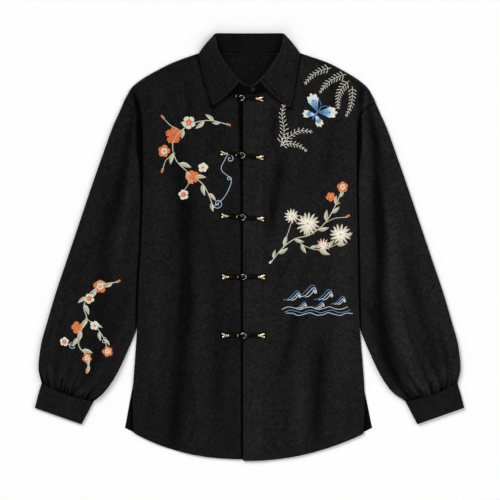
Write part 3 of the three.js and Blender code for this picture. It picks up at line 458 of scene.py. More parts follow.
def mesh_from(name, points, faces, mat, label=None, values=None):
    """An object whose faces all have as many corners."""
    faces = np.asarray(faces, int)
    return add_mesh(name, points, faces.ravel(), np.full(len(faces), faces.shape[1]), mat, label, values)


def grid_faces(rows, columns, closed, start=0, flip=False):
    i = np.arange(rows - 1)[:, None]
    j = np.arange(columns if closed else columns - 1)[None, :]
    a = i * columns + j
    b = i * columns + (j + 1) % columns
    quads = np.stack([a, b, b + columns, a + columns], -1).reshape(-1, 4) + start
    return quads[:, ::-1] if flip else quads


def volume_sign(points, faces):
    p = np.asarray(points)[faces]
    return np.sum(np.einsum("ij,ij->i", p[:, 0], np.cross(p[:, 1], p[:, 2]))
                  + np.einsum("ij,ij->i", p[:, 0], np.cross(p[:, 2], p[:, 3])))


def wall(name, outer, inner, material, closed=False, painted_light=1.0):
    """A closed wall between two grids of points. Its last argument is the painted light and shade of each
    point, a factor on the cloth's colour and shine.
    """
    rows, columns = outer.shape[:2]
    half = rows * columns
    points = np.concatenate([outer.reshape(-1, 3), inner.reshape(-1, 3)])
    faces = [grid_faces(rows, columns, closed), grid_faces(rows, columns, closed, half, True)]
    i = np.arange(rows - 1)
    if not closed:
        for j, flip in ((0, False), (columns - 1, True)):
            a, b = i * columns + j, (i + 1) * columns + j
            edge = np.stack([a, b, half + b, half + a], -1)
            faces.append(edge[:, ::-1] if flip else edge)
    j = np.arange(columns if closed else columns - 1)
    for r, flip in ((0, True), (rows - 1, False)):
        a, b = r * columns + j, r * columns + (j + 1) % columns
        edge = np.stack([a, b, half + b, half + a], -1)
        faces.append(edge[:, ::-1] if flip else edge)
    faces = np.concatenate(faces)
    if volume_sign(points, faces) < 0:
        faces = faces[:, ::-1]
    painted_light = np.broadcast_to(painted_light, outer.shape[:2]).ravel()
    return mesh_from(name, points, faces, material, "painted_light", np.concatenate([painted_light, painted_light]))


def stack(x, y, z):
    return np.stack(np.broadcast_arrays(x, y, z), -1).astype(float)


# Materials
def material(name):
    m = bpy.data.materials.new(name)
    m.use_nodes = True
    nodes, links = m.node_tree.nodes, m.node_tree.links
    return m, nodes, links, nodes["Principled BSDF"]


def cloth_material(name, tone, seed, sheen=0.04):
    """Matt black crepe: a swirling slub grain in its colour, its shine and its bump, over a fine weave."""
    m, nodes, links, shader = material(name)
    shader.inputs["Roughness"].default_value = 0.56
    shader.inputs["Sheen Weight"].default_value = sheen
    shader.inputs["Sheen Roughness"].default_value = 0.5
    place = nodes.new("ShaderNodeNewGeometry")
    shift = nodes.new("ShaderNodeVectorMath")
    shift.operation = "ADD"
    shift.inputs[1].default_value = (seed * 0.37, seed * 0.21, 0)
    links.new(place.outputs["Position"], shift.inputs[0])

    def noise(scale, stretch, turn, detail, rough, swirl=0.0):
        # turned first and then drawn out, as a texture mapping does it
        squeeze = nodes.new("ShaderNodeMapping")
        squeeze.vector_type = "TEXTURE"
        squeeze.inputs["Rotation"].default_value = (0, 0, turn)
        squeeze.inputs["Scale"].default_value = (1, stretch, 1)
        links.new(shift.outputs[0], squeeze.inputs[0])
        n = nodes.new("ShaderNodeTexNoise")
        n.inputs["Scale"].default_value = scale
        n.inputs["Detail"].default_value = detail
        n.inputs["Roughness"].default_value = rough
        n.inputs["Distortion"].default_value = swirl
        links.new(squeeze.outputs[0], n.inputs["Vector"])
        return n.outputs["Fac"]

    def math_node(operation, a, b):
        n = nodes.new("ShaderNodeMath")
        n.operation = operation
        links.new(a, n.inputs[0])
        if isinstance(b, float):
            n.inputs[1].default_value = b
        else:
            links.new(b, n.inputs[1])
        return n.outputs[0]

    def mapped(value, low, high, to_low, to_high):
        n = nodes.new("ShaderNodeMapRange")
        for socket, v in (("From Min", low), ("From Max", high), ("To Min", to_low), ("To Max", to_high)):
            n.inputs[socket].default_value = v
        links.new(value, n.inputs["Value"])
        return n.outputs["Result"]

    # short slanting strokes, which lean one way here and the other way there
    drift = mapped(noise(30, 1.0, 0.0, 1, 0.5, 0.5), 0.44, 0.56, 0.0, 1.0)
    other = math_node("SUBTRACT", drift, 1.0)
    rising, falling = noise(430, 4.5, -0.8, 2, 0.5, 0.5), noise(430, 4.0, 0.72, 2, 0.5, 0.5)
    slub = math_node("SUBTRACT", math_node("MULTIPLY", rising, drift), math_node("MULTIPLY", falling, other))
    swirl = noise(190, 1.0, 0.0, 2, 0.5, 2.6)
    cloud = noise(14, 1.7, 0.3, 3, 0.5)
    grain = math_node("MULTIPLY", mapped(slub, 0.34, 0.66, 0.62, 1.42), mapped(swirl, 0.34, 0.66, 0.8, 1.22))
    grain = math_node("MULTIPLY", grain, mapped(cloud, 0.3, 0.7, 0.9, 1.1))
    # Painted light and shade: each point's attribute scales the grain's colour and shine, below 1 for painted
    # shade and over 1 for painted light.
    painted_light = nodes.new("ShaderNodeAttribute")
    painted_light.attribute_name = "painted_light"
    shade = math_node("MULTIPLY", grain, painted_light.outputs["Fac"])
    tint = nodes.new("ShaderNodeVectorMath")
    tint.operation = "SCALE"
    tint.inputs[0].default_value = tuple(c * tone for c in BLACK)
    links.new(shade, tint.inputs["Scale"])
    links.new(tint.outputs[0], shader.inputs["Base Color"])
    links.new(math_node("MULTIPLY", shade, GLOSS * tone), shader.inputs["Specular IOR Level"])

    def bump(height, strength, distance, normal=None):
        n = nodes.new("ShaderNodeBump")
        n.inputs["Strength"].default_value = strength
        n.inputs["Distance"].default_value = distance
        links.new(height, n.inputs["Height"])
        if normal is not None:
            links.new(normal, n.inputs["Normal"])
        return n.outputs[0]

    weave = bump(noise(1500, 1, 0, 2, 0.5), 0.3, 0.0003)
    crepe = bump(slub, 0.4, 0.0006, weave)
    links.new(bump(swirl, 0.35, 0.0008, crepe), shader.inputs["Normal"])
    return m


def plain_material(name, colour, rough, metal=0.0, bump=0.0, scale=900.0, coat=0.0, sheen=0.0, shine=0.5):
    m, nodes, links, shader = material(name)
    shader.inputs["Specular IOR Level"].default_value = shine
    shader.inputs["Base Color"].default_value = tuple(colour) + (1,)
    shader.inputs["Roughness"].default_value = rough
    shader.inputs["Metallic"].default_value = metal
    shader.inputs["Coat Weight"].default_value = coat
    shader.inputs["Sheen Weight"].default_value = sheen
    n = nodes.new("ShaderNodeTexNoise")
    n.inputs["Scale"].default_value = scale
    n.inputs["Detail"].default_value = 3
    place = nodes.new("ShaderNodeNewGeometry")
    links.new(place.outputs["Position"], n.inputs["Vector"])
    wear = nodes.new("ShaderNodeMapRange")
    wear.inputs["To Min"].default_value = max(0.04, rough - 0.08)
    wear.inputs["To Max"].default_value = min(1.0, rough + 0.1)
    links.new(n.outputs["Fac"], wear.inputs["Value"])
    links.new(wear.outputs[0], shader.inputs["Roughness"])
    b = nodes.new("ShaderNodeBump")
    b.inputs["Strength"].default_value = bump
    b.inputs["Distance"].default_value = 0.0003
    links.new(n.outputs["Fac"], b.inputs["Height"])
    links.new(b.outputs[0], shader.inputs["Normal"])
    return m


def thread_material(name, light, dark, shine=0.28):
    """Shiny embroidery thread, whose tone runs between two colours from stitch to stitch."""
    m, nodes, links, shader = material(name)
    shader.inputs["Roughness"].default_value = 0.42
    shader.inputs["Specular IOR Level"].default_value = shine
    shader.inputs["Sheen Weight"].default_value = 0.2 * shine
    tone = nodes.new("ShaderNodeAttribute")
    tone.attribute_name = "tone"
    mix = nodes.new("ShaderNodeMix")
    mix.data_type = "RGBA"
    mix.inputs["A"].default_value = tuple(dark) + (1,)
    mix.inputs["B"].default_value = tuple(light) + (1,)
    links.new(tone.outputs["Fac"], mix.inputs["Factor"])
    links.new(mix.outputs["Result"], shader.inputs["Base Color"])
    return m


BLACK, GLOSS = (0.0034, 0.0034, 0.0035), 0.085


def cloth_pair(part, **looks):
    """The two sides' cloth, each by its tone and seed."""
    return {side: cloth_material("cloth_%s_%s" % (part, side), *look) for side, look in looks.items()}


# Painted light: the wearer's left of the shirt gets a lighter tone, as it takes a little more light
CLOTH_BODY = cloth_pair("body", right=(0.92, 1), left=(1.15, 2))
CLOTH_SLEEVE = cloth_pair("sleeve", right=(1.0, 5), left=(1.3, 6))
CLOTH_COLLAR = cloth_material("cloth_collar", 1.05, 9)
THREAD_BLACK = plain_material("thread_black", (0.012, 0.012, 0.013), 0.5, bump=0.2, sheen=0.2)
HARDWARE = {
    "cord_black": plain_material("cord_black", (0.0012, 0.0012, 0.0014), 0.2, bump=0.2, shine=0.16),
    "button_black": plain_material("button_black", (0.0015, 0.0015, 0.002), 0.16, coat=0.1, shine=0.14),
    "pale_gold": plain_material("pale_gold", (0.86, 0.68, 0.42), 0.2, metal=1.0, bump=0.15, scale=400),
}


def piece(obj, slot, *nodes):
    """All the pieces ride on the one body. nodes: the solids that this one takes the place of."""
    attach(obj, "root")
    if nodes:
        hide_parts(*nodes)
    return obj


def cloth_area(obj):
    """Half the surface of a closed wall, in square metres."""
    return sum(p.area for p in obj.data.polygons) / 2


# Fronts
def front_columns(side, y, u):
    """X of a front's points in side coordinates for rows y and shares u across, without the turned edge."""
    start = np.where(y < NECKLINE_Y[0], EDGE_X if side == "left" else -UNDERLAP_X, NECK_X(y) + NECK_GAP)
    slant = np.hypot(1, (EDGE[side](y + 2) - EDGE[side](y - 2)) / 4)
    room = EDGE[side](y) - (SIDE_ROLL + 1) * slant
    return start[:, None] + (room - start)[:, None] * u[None, :], slant


# Shares of the quarter turn by which a front's side edge goes down
TURN = np.linspace(0, 1, 6)


def build_front(side):
    sign = SIDES[side]
    level = np.concatenate([
        np.linspace(HEM_Y, HEM_Y + HEM_BAND, dense(14), endpoint=False),
        np.linspace(HEM_Y + HEM_BAND, FRONT_TOP_Y, dense(310)),
    ])
    edge_y = with_hem(side, level, BODY_EDGE[side][0])
    cols, slant = front_columns(side, edge_y, np.linspace(0, 1, dense(96)))
    x = cols * sign
    y = with_hem(side, level[:, None], x)
    z = front_top(side, x, y) + hem_pucker(side, x, y)
    thick = front_wall(z)
    edge = EDGE[side](edge_y)
    turn = EDGE_TURN(edge_y)
    top = front_top(side, edge * sign, edge_y)
    on_sleeve = between(edge_y, -195, -170, 270, 282)
    foot = lerp(CLOTH + SEAM, SLEEVE_REST, on_sleeve)
    outer, inner = [], []
    for t in TURN:
        angle = t * math.pi / 2
        out = FRONT_ROLL * (1 - math.sin(angle)) * (1 - 0.15 * t)
        drop = (1 - math.cos(angle)) ** 1.1
        zz = top - (top - foot) * drop * turn
        ww = front_wall(top)
        low = np.maximum(zz - ww * (1 - drop), foot)
        back = lerp(0.5, 1.2, t)
        outer.append(stack((edge - out * slant) * sign, edge_y, zz))
        inner.append(stack((edge - (out + back * turn) * slant) * sign, edge_y, lerp(zz - ww, low, turn)))
    o = np.concatenate([stack(x, y, z), np.stack(outer, 1)], 1)
    i = np.concatenate([stack(x, y, z - thick), np.stack(inner, 1)], 1)
    obj = wall("shirt_front_" + side, o, i, CLOTH_BODY[side], painted_light=front_painted_light(side, o[..., 0], o[..., 1]))
    return piece(obj, "cloth_black", "front_" + side)


FRONT = {side: build_front(side) for side in SIDES}


# The placket band lies on the left front, between two rows of stitches
PLACKET_SEAMS = (EDGE_X + PLACKET_STITCH, EDGE_X + PLACKET_WIDTH - PLACKET_STITCH)


def build_placket():
    low_y = HEM_Y + 16
    level = np.concatenate([
        np.linspace(HEM_Y, low_y, 12, endpoint=False),
        np.linspace(low_y, PLACKET_TOP_Y, dense(280)),
    ])
    x = (EDGE_X + PLACKET_WIDTH * np.linspace(0, 1, 22))[None, :] + np.zeros((len(level), 1))
    y = with_hem("left", level[:, None], x)
    stitched = sum(bell(x, at, 0.8) for at in PLACKET_SEAMS)
    z = PLACKET_TOP - 0.22 * stitched + ripple(x, y, 8, 40, 120, 0.12)
    z = z - 0.45 * (1 - ease(x - EDGE_X, 0, 1.0))
    low = np.full_like(z, OVER_Z + SEAM)
    # the band is painted a little lighter all over, with painted shade round the collar and the fastenings
    painted_light = 1.15 * under_collar(x, y) * beside_fastenings(x, y)
    obj = wall("shirt_placket", stack(x, y, z), stack(x, y, low), CLOTH_BODY["left"], painted_light=painted_light)
    return piece(obj, "cloth_black", "placket")


PLACKET = build_placket()


# The back, flat on the floor, a little inside the fronts' side edges to leave the sleeves their place
BACK_INSET = table(
    "y inset",
    (-162, 0), (-150, 4), (-130, 9.5), (-100, 11), (240, 11), (250, 10.5), (259, 9), (270, 6.5), (275, 3.5),
    (279, 0),
)


def build_back():
    foot, low, high, neck = BACK_ROWS_Y
    level = np.concatenate([
        np.linspace(foot, low, dense(32), endpoint=False),
        np.linspace(low, high, dense(118), endpoint=False),
        np.linspace(high, neck, dense(36)),
    ])
    share = ease(-level, 300, 386)
    inset = curve(BACK_INSET, "y", "inset")(level)
    flare = {}
    for side in SIDES:
        (top_y, top_x), (foot_y, foot_x) = VENT_TOP[side], VENT_FOOT[side]
        real = level + share * BACK_HEM[1]
        line = top_x + (foot_x - top_x) * (top_y - real) / (top_y - foot_y)
        flare[side] = np.where(real > top_y, EDGE[side](real) - inset, np.minimum(line, foot_x))
    u = np.linspace(-1, 1, dense(118))
    half = np.where(u[None, :] < 0, flare["right"][:, None], flare["left"][:, None])
    x = half * u[None, :]
    side_half = np.where(x < 0, BACK_HALF["right"], BACK_HALF["left"])
    hem = hem_y(BACK_HEM, x, side_half)
    y = level[:, None] + share[:, None] * (hem - BACK_HEM[0])
    neck = BACK_NECK_Y + BACK_NECK_RISE * np.clip(x / BACK_NECK_HALF, -1, 1) ** 2
    y = np.minimum(y, neck)
    z = np.full_like(x, CLOTH) - 0.1 + 0.1 * np.sin(x / 3.1) * np.sin(y / 4.3)
    # under the neck seam, painted light where a ridge of turned cloth lies and painted shade on its stitch
    # line below; the back is painted darker all over, for the shade inside the neck
    down = neck - y
    ridge, stitches = (bell(down, at, 1.3) for at in (3.6, 6.4))
    painted_light = 0.72 * (1 + 0.7 * ridge - 0.45 * stitches)
    # beside the vents it lies in the shade of the front
    shown = np.abs(x) - np.where(x < 0, EDGE["right"](y), EDGE["left"](y))
    painted_light = np.where((y < -240) & (shown > -6), lerp(0.18, 0.6, ease(shown, 0, 14)), painted_light)
    obj = wall("shirt_back", stack(x, y, z), stack(x, y, 0 * z), CLOTH_BODY["right"], painted_light=painted_light)
    return piece(obj, "cloth_black", "back")


BACK = build_back()

# Sleeves and cuffs
SLEEVE = table(
    "s ox oy ix iy top bow",
    (0, 230.3, 272.8, 197, 247, 3.8, 0), (0.05, 241, 248, 190, 212, 6.4, 0),
    (0.11, 253, 221, 190, 178, 7.4, 0), (0.22, 272.4, 167.4, 190, 120, 7.6, 0),
    (0.34, 293.7, 106.4, 190, 55, 7.6, 0), (0.46, 315.5, 41.6, 190, -15, 7.6, 0),
    (0.58, 337.2, -23.1, 195, -85, 7.8, 0), (0.69, 358.4, -86, 208, -148, 8, 0),
    (0.79, 374.2, -139.7, 228.5, -201, 8.6, 0), (0.88, 386.2, -185, 251, -246, 9.4, 1.5),
    (0.955, 390.3, -224.8, 273.5, -275, 9.4, 3.5), (1, 384.7, -252.3, 287.8, -286, 7.4, 4.6),
)
ALONG = {c: curve(SLEEVE, "s", c) for c in ("ox", "oy", "ix", "iy", "top", "bow")}
SLEEVE_LENGTH = 600.0
LEFT_NARROWER = 4.5
GATHER = "w lean half reach deep"
GATHERS = {
    "right": table(
        GATHER,
        (0.07, -0.0008, 0.03, 14, 2), (0.17, -0.0012, 0.03, 26, 2.4), (0.27, 0.0002, 0.05, 90, 1.8),
        (0.36, 0, 0.03, 12, 2.2), (0.44, 0.001, 0.03, 20, 2.4), (0.53, 0, 0.028, 11, 1.8),
        (0.61, 0.0014, 0.032, 30, 2.8), (0.7, 0, 0.028, 12, 2), (0.78, 0.0006, 0.028, 14, 2),
        (0.87, 0.001, 0.03, 22, 2.6), (0.95, 0, 0.028, 12, 1.6),
    ),
    "left": table(
        GATHER,
        (0.06, 0, 0.03, 16, 1.8), (0.14, 0.0006, 0.04, 80, 1.8), (0.24, 0, 0.03, 18, 2.4),
        (0.33, 0.0008, 0.035, 100, 2), (0.42, 0, 0.028, 14, 2.2), (0.5, 0.0004, 0.03, 30, 2.6),
        (0.59, 0, 0.028, 12, 1.8), (0.67, 0.0006, 0.035, 90, 2.2), (0.76, 0, 0.028, 14, 2.2),
        (0.84, 0.0004, 0.035, 70, 2), (0.93, 0, 0.03, 16, 2),
    ),
}
TUBE_ROLL, UNDER = 3.6, 8
VALLEY_FLAT, VALLEY_WIDTH, VALLEY_LOW, VALLEY_FROM, VALLEY_UNTIL = 12.0, 36.0, 4.2, 0.72, 0.82
SLEEVE_FOLDS = {
    "right": table(
        FOLD,
        (0.02, 0.45, 0.4, 0.5, 0.12, 2.2), (0.35, 0.3, 0.75, 0.62, 0.1, 1.8),
        (0.6, 0.8, 0.95, 0.66, 0.07, 1.4), (0.15, 0.66, 0.5, 0.62, 0.08, -1.2),
    ),
    "left": table(
        FOLD,
        (0.02, 0.28, 0.42, 0.6, 0.1, 2.9), (0.02, 0.62, 0.3, 0.72, 0.06, -1),
        (0.36, 0.52, 0.92, 0.9, 0.085, 3), (0.55, 0.3, 0.92, 0.3, 0.07, 1.8),
        (0.3, 0.36, 0.92, 0.66, 0.08, -1.8),
    ),
}
SLEEVE_SMALL = {
    "right": table(
        FOLD,
        (0.05, 0.75, 0.22, 0.62, 0.04, 0.5), (0.12, 0.22, 0.34, 0.2, 0.05, 0.5),
        (0.3, 0.8, 0.5, 0.7, 0.05, 0.5), (0.5, 0.25, 0.66, 0.2, 0.04, 0.5),
        (0.7, 0.15, 0.97, 0.26, 0.035, 0.7), (0.66, 0.42, 0.99, 0.45, 0.03, 0.8),
        (0.78, 0.9, 1.0, 0.84, 0.03, 0.6), (0.8, 0.58, 1.0, 0.56, 0.025, 0.6),
    ),
    "left": table(
        FOLD,
        (0.03, 0.8, 0.2, 0.72, 0.04, 0.5), (0.15, 0.3, 0.4, 0.36, 0.05, 0.6),
        (0.35, 0.15, 0.6, 0.18, 0.05, 0.5), (0.5, 0.88, 0.7, 0.84, 0.04, 0.5),
        (0.74, 0.14, 0.99, 0.22, 0.03, 0.8), (0.7, 0.5, 1.0, 0.5, 0.028, 0.9),
        (0.78, 0.86, 1.0, 0.8, 0.028, 0.7), (0.85, 0.6, 1.0, 0.6, 0.02, 0.6),
    ),
}


def gathered(side, s, w):
    """Depth of the gathers above the cuff."""
    rows, up = GATHERS[side], (1 - s) * SLEEVE_LENGTH
    total = 0.0
    for k in range(len(rows["w"])):
        at, lean, half, reach, deep = (rows[c][k] for c in GATHER.split())
        total = total + deep * np.exp(-((up / reach) ** 1.3)) * bell(w - at, lean * up, half)
    return total


def painted_cuff_hooks(side, s, w):
    """Painted shade for the small dark hooks close to the cuff, and painted light on the cloth above them."""
    begin = 1.0 if side == "left" else 2.6
    turn = w * 10.5 + 0.6 * np.sin(7 * w + begin) + 0.3 * np.sin(17 * w + 2 * begin) + 1.6 * (1 - s)
    hook = (0.5 - 0.5 * np.cos(2 * math.pi * turn)) * (0.55 + 0.45 * np.sin(13.7 * w + 3 * begin))
    late = s + 0.014 * np.sin(29 * w + begin) + 0.008 * np.sin(53 * w)
    dark = ease(late, 0.952, 0.985) * (0.12 + 0.95 * hook) + 0.25 * ease(s, 0.985, 0.996)
    return (1 - np.minimum(dark, 0.92)) * (1 + 0.6 * ease(late, 0.92, 0.95) * (1 - hook) ** 3)


def sleeve_top(side, s, w, width):
    full = ALONG["top"](s)
    beside = 1 - ease(s, VALLEY_FROM, VALLEY_UNTIL)
    low = np.minimum(VALLEY_LOW, full)
    z = lerp(full, lerp(low, full, ease((1 - w) * width, VALLEY_FLAT, VALLEY_WIDTH)), beside)
    z = z - trough(s, w, SLEEVE_FOLDS[side])
    edge = ease(np.minimum(w * width, (1 - w) * width - VALLEY_FLAT * beside), 0, 14)
    z = z - edge * trough(s, w, SLEEVE_SMALL[side])
    z = z + edge * ripple(w * width, s * 540, 21 if side == "left" else 22, 40, 110, 0.22)
    offset = 1.0 if side == "left" else 0.0
    # between the big gathers, finer ones close to the cuff only
    small = 0.4 * ease(s, 0.955, 1.0) * np.cos(2 * math.pi * (w * 27 + 0.4 * np.sin(9 * w + offset)))
    return np.maximum(z - gathered(side, s, w) + small, LOWEST_SLEEVE)


def tube_wall(z, cuff):
    return np.full_like(z, CUFF_WALL) if cuff else np.clip((z - LAYER_GAP) / 2, CLOTH, RIDGE_WALL)


def edge_profile(points=7):
    """Round edge of a flattened tube: inset outside, share of the height, inset inside, share inside."""
    t = np.linspace(0, 1, points)
    angle = lerp(-math.pi / 2, math.pi / 2 * 0.86, t)
    inset = 2.6 * (1 - np.cos(angle)) * np.where(angle < 0, 1.0, 0.75)
    return inset, (1 + np.sin(angle)) / 2, inset * 0.55 + 1.9, t


def tube_rows(ends, bow, across, top, place, cuff):
    """Outer and inner grids of a flattened tube: its rows are stations, its columns go round."""
    ox, oy, ix, iy = ends
    width = np.hypot(ix - ox, iy - oy)
    dx, dy = (ix - ox) / width, (iy - oy) / width
    outer, inner = [], []

    def put(row, d, z):
        arch = bow * np.sin(math.pi * np.clip(d / width, 0, 1))
        row.append(place(ox + dx * d - dy * arch, oy + dy * d + dx * arch, z))

    inset, rise, deep, within = edge_profile()
    base = CUFF_WALL if cuff else CLOTH
    for at_end in (False, True):
        w = 1.0 if at_end else 0.0
        high = top(w, width) + 0 * width
        thick = tube_wall(high, cuff)
        order = range(len(inset) - 1, -1, -1) if at_end else range(len(inset))
        if at_end:
            for n in range(across):
                share = n / (across - 1)
                d = lerp(TUBE_ROLL, width - TUBE_ROLL, share)
                z = top(d / width, width)
                put(outer, d, z)
                put(inner, d, z - tube_wall(z, cuff))
        for k in order:
            put(outer, width - inset[k] if at_end else inset[k] + 0 * width, rise[k] * high)
            d = width - deep[k] if at_end else deep[k] + 0 * width
            put(inner, d, lerp(base, high - thick, within[k]))
    for n in range(1, UNDER + 1):
        d = (1 - n / (UNDER + 1)) * width
        put(outer, d, 0 * width)
        put(inner, d, 0 * width + base)
    return np.stack(outer, 1), np.stack(inner, 1)


CUFF = table(
    "t ox oy ix iy bow",
    (0, 384.6, -253, 288.1, -286.7, 4.6), (0.5, 391.2, -275.4, 299, -307.5, 2),
    (1, 397, -298.2, 310.2, -328.7, 0),
)


def build_sleeve(side):
    sign = SIDES[side]
    upper, lower = np.linspace(0, 0.7, dense(132), endpoint=False), np.linspace(0.7, 1, dense(110))
    s = np.concatenate([upper, lower, [1.0]])
    ox, oy, ix, iy, bow = (ALONG[c](s) for c in ("ox", "oy", "ix", "iy", "bow"))
    # the last row is tucked into the cuff
    ox[-1], oy[-1], ix[-1], iy[-1] = (float(curve(CUFF, "t", c)(0.03)) for c in ("ox", "oy", "ix", "iy"))
    if side == "left":
        ix = ix - LEFT_NARROWER * between(s, 0.6, 0.7, 0.92, 0.99)
    ix = lerp(EDGE[side](iy) - TUCK, ix, ease(s, 0.6, 0.7))

    def place(x, y, z):
        return stack(x * sign, y, z)

    most = np.where(np.arange(len(s)) == len(s) - 1, CUFF_HEIGHT - CUFF_WALL - 0.2, np.inf)
    top = lambda w, width: np.minimum(sleeve_top(side, s, w, width), most)
    o, i = tube_rows((ox, oy, ix, iy), bow, dense(130), top, place, False)
    x, y = np.abs(o[..., 0]), o[..., 1]
    # Painted shade in the valley beside the body, in the fold from the right shoulder's tip, in the creases
    # and in the gathers, with painted dark hooks and painted light by the cuff
    wide = curve(VALLEY_DARK, "y", side)(y)
    painted_light = lerp(VALLEY_SHADE, 1, ease(x - EDGE[side](y), 0.7 * wide, 1.15 * wide + 0.5))
    painted_light = np.where(y > -195, painted_light, 1.0)
    if side == "right":
        painted_light = np.minimum(painted_light, painted_tip_fold_shade(x, y))
    width = np.hypot(ix - ox, iy - oy)[:, None]
    w = np.hypot(o[..., 0] * sign - ox[:, None], y - oy[:, None]) / width
    step = s[:, None] + 0 * w
    creases = trough(step, w, SLEEVE_FOLDS[side]) + 1.4 * trough(step, w, SLEEVE_SMALL[side])
    painted_light = painted_light * fold_painted_light(creases, 0.75)
    painted_light = painted_light * fold_painted_light(gathered(side, step, w), 0.92) * painted_cuff_hooks(side, step, w)
    obj = wall("shirt_sleeve_" + side, o, i, CLOTH_SLEEVE[side], closed=True, painted_light=painted_light)
    return piece(obj, "cloth_black", "sleeve_" + side)


def build_cuff(side):
    sign = SIDES[side]
    t = np.linspace(0, 1, dense(44))
    ox, oy, ix, iy, bow = (curve(CUFF, "t", c)(t) for c in ("ox", "oy", "ix", "iy", "bow"))
    rows = np.minimum(t, 1 - t) * CUFF_DEPTH

    def top(w, width):
        z = CUFF_HEIGHT - 0.25 * bell(rows, CUFF_STITCH, 0.9) - 0.5 * (1 - ease(rows, 0, 1.4))
        return z + 0.15 * np.sin(w * 9 + t * 2) - 0.15

    o, i = tube_rows((ox, oy, ix, iy), bow, dense(60), top, lambda x, y, z: stack(x * sign, y, z), True)
    # the cuff is painted a little darker all over
    obj = wall("shirt_cuff_" + side, o, i, CLOTH_COLLAR, closed=True, painted_light=0.9)
    return piece(obj, "cloth_black", "cuff_" + side)


SLEEVES = {side: build_sleeve(side) for side in SIDES}
CUFFS = {side: build_cuff(side) for side in SIDES}


# Collar
def stations(end, step):
    n = int(round(end / step / FINE))
    return np.concatenate([-np.linspace(end, end / n, n), np.linspace(0, end, n + 1)])


def leaf_bow(t, share):
    """How far the leaf's front edge bows forward."""
    bow = BOW_DEEP * ease(np.abs(t), BOW_FROM, LEAF_END) * np.sin(math.pi * share)
    return stack(BOW_X * np.where(t < 0, -1.0, 1.0) * bow, BOW_Y * bow, 0 * bow)


def build_leaf():
    t = stations(LEAF_END, 0.075)
    a, c, apex, to_leaf, centre = collar_at(t)
    outer, inner, painted_light = [], [], []
    for angle in np.linspace(-1, LEAF_ROLL_END, 12):
        ray = apex * math.cos(angle) + to_leaf * math.sin(angle)
        outer.append(centre + COLLAR_ROLL * ray)
        inner.append(centre + (COLLAR_ROLL - COLLAR_WALL) * ray)
        # the fold catches the light where it passes the front of the neck
        painted_light.append(1 + 0.7 * math.exp(-((angle + 0.1) / 0.6) ** 2) * ease(np.abs(t), 5.0, 7.0))
    start = outer[-1]
    down = c - start
    inward = unit(-to_leaf - down * (dot(-to_leaf, down) / dot(down, down)))
    length = np.linalg.norm(down, axis=-1)
    end_gap = (LEAF_END - np.abs(t)) * STATION
    for share in np.concatenate([np.linspace(0.04, 0.86, dense(24)), np.linspace(0.875, 1, 12)]):
        p = start + down * share + leaf_bow(t, share)
        left = length * (1 - share)
        rim = np.minimum(left, end_gap)
        groove = 0.25 * bell(rim, LEAF_STITCH, 0.9) + 0.55 * (1 - ease(rim, 0, 1.2))
        wave = 0.25 * np.sin(t * 1.7 + share * 4) * math.sin(math.pi * share)
        belly = LEAF_BELLY * math.sin(math.pi * share) + wave - groove
        outer.append(p - inward * belly[:, None])
        inner.append(p + inward * (COLLAR_WALL - LEAF_BELLY * math.sin(math.pi * share)))
        # painted shade on the stitch line and painted light along the edge
        seam, edge = bell(rim, LEAF_STITCH, 1.2), bell(rim, 1.5, 1.5)
        painted_light.append(1 - 0.4 * seam + 0.3 * edge)
    outer, inner, painted_light = (np.stack(v, 1) for v in (outer, inner, painted_light))
    obj = wall("shirt_collar_leaf", outer, inner, CLOTH_COLLAR, painted_light=painted_light)
    return piece(obj, "cloth_black", "collar_leaf")


def stand_lines(t):
    a, c, apex, to_leaf, centre = collar_at(t)
    top = centre - to_leaf * COLLAR_ROLL - apex * SEAM
    up = top - a
    inward = unit(-to_leaf - up * (dot(-to_leaf, up) / dot(up, up)))
    return a, up, inward


def build_stand():
    t = stations(STAND_END, 0.1)
    a, up, inward = stand_lines(t)
    lap = np.where(t > 0, STAND_OVERLAP * ease(t, 11.2, 12.2), 0.0)[:, None]
    height = np.linalg.norm(up, axis=-1)
    # painted shade, darkest between the points of the collar, with a painted highlight on the rim at the top
    front = ease(np.abs(t), 9.5, 11.0)
    outer, inner, painted_light = [], [], []
    for share in np.linspace(0, 1, 22):
        p = a + up * share
        painted_light.append(lerp(0.62, 0.3, front) + 2.4 * front * ease(share, 0.88, 0.97))
        rim = np.minimum(height * share, height * (1 - share))
        seam = bell(height * share, STAND_STITCH, 0.8)
        groove = (0.3 * seam + 0.4 * (1 - ease(rim, 0, 1.0)))[:, None]
        outer.append(p - inward * (lap - 0.6 * groove))
        inner.append(p + inward * (COLLAR_WALL - lap - groove))
    outer, inner, painted_light = (np.stack(v, 1) for v in (outer, inner, painted_light))
    obj = wall("shirt_collar_stand", outer, inner, CLOTH_COLLAR, painted_light=painted_light)
    return piece(obj, "cloth_black", "collar_stand")


LEAF = build_leaf()
STAND = build_stand()


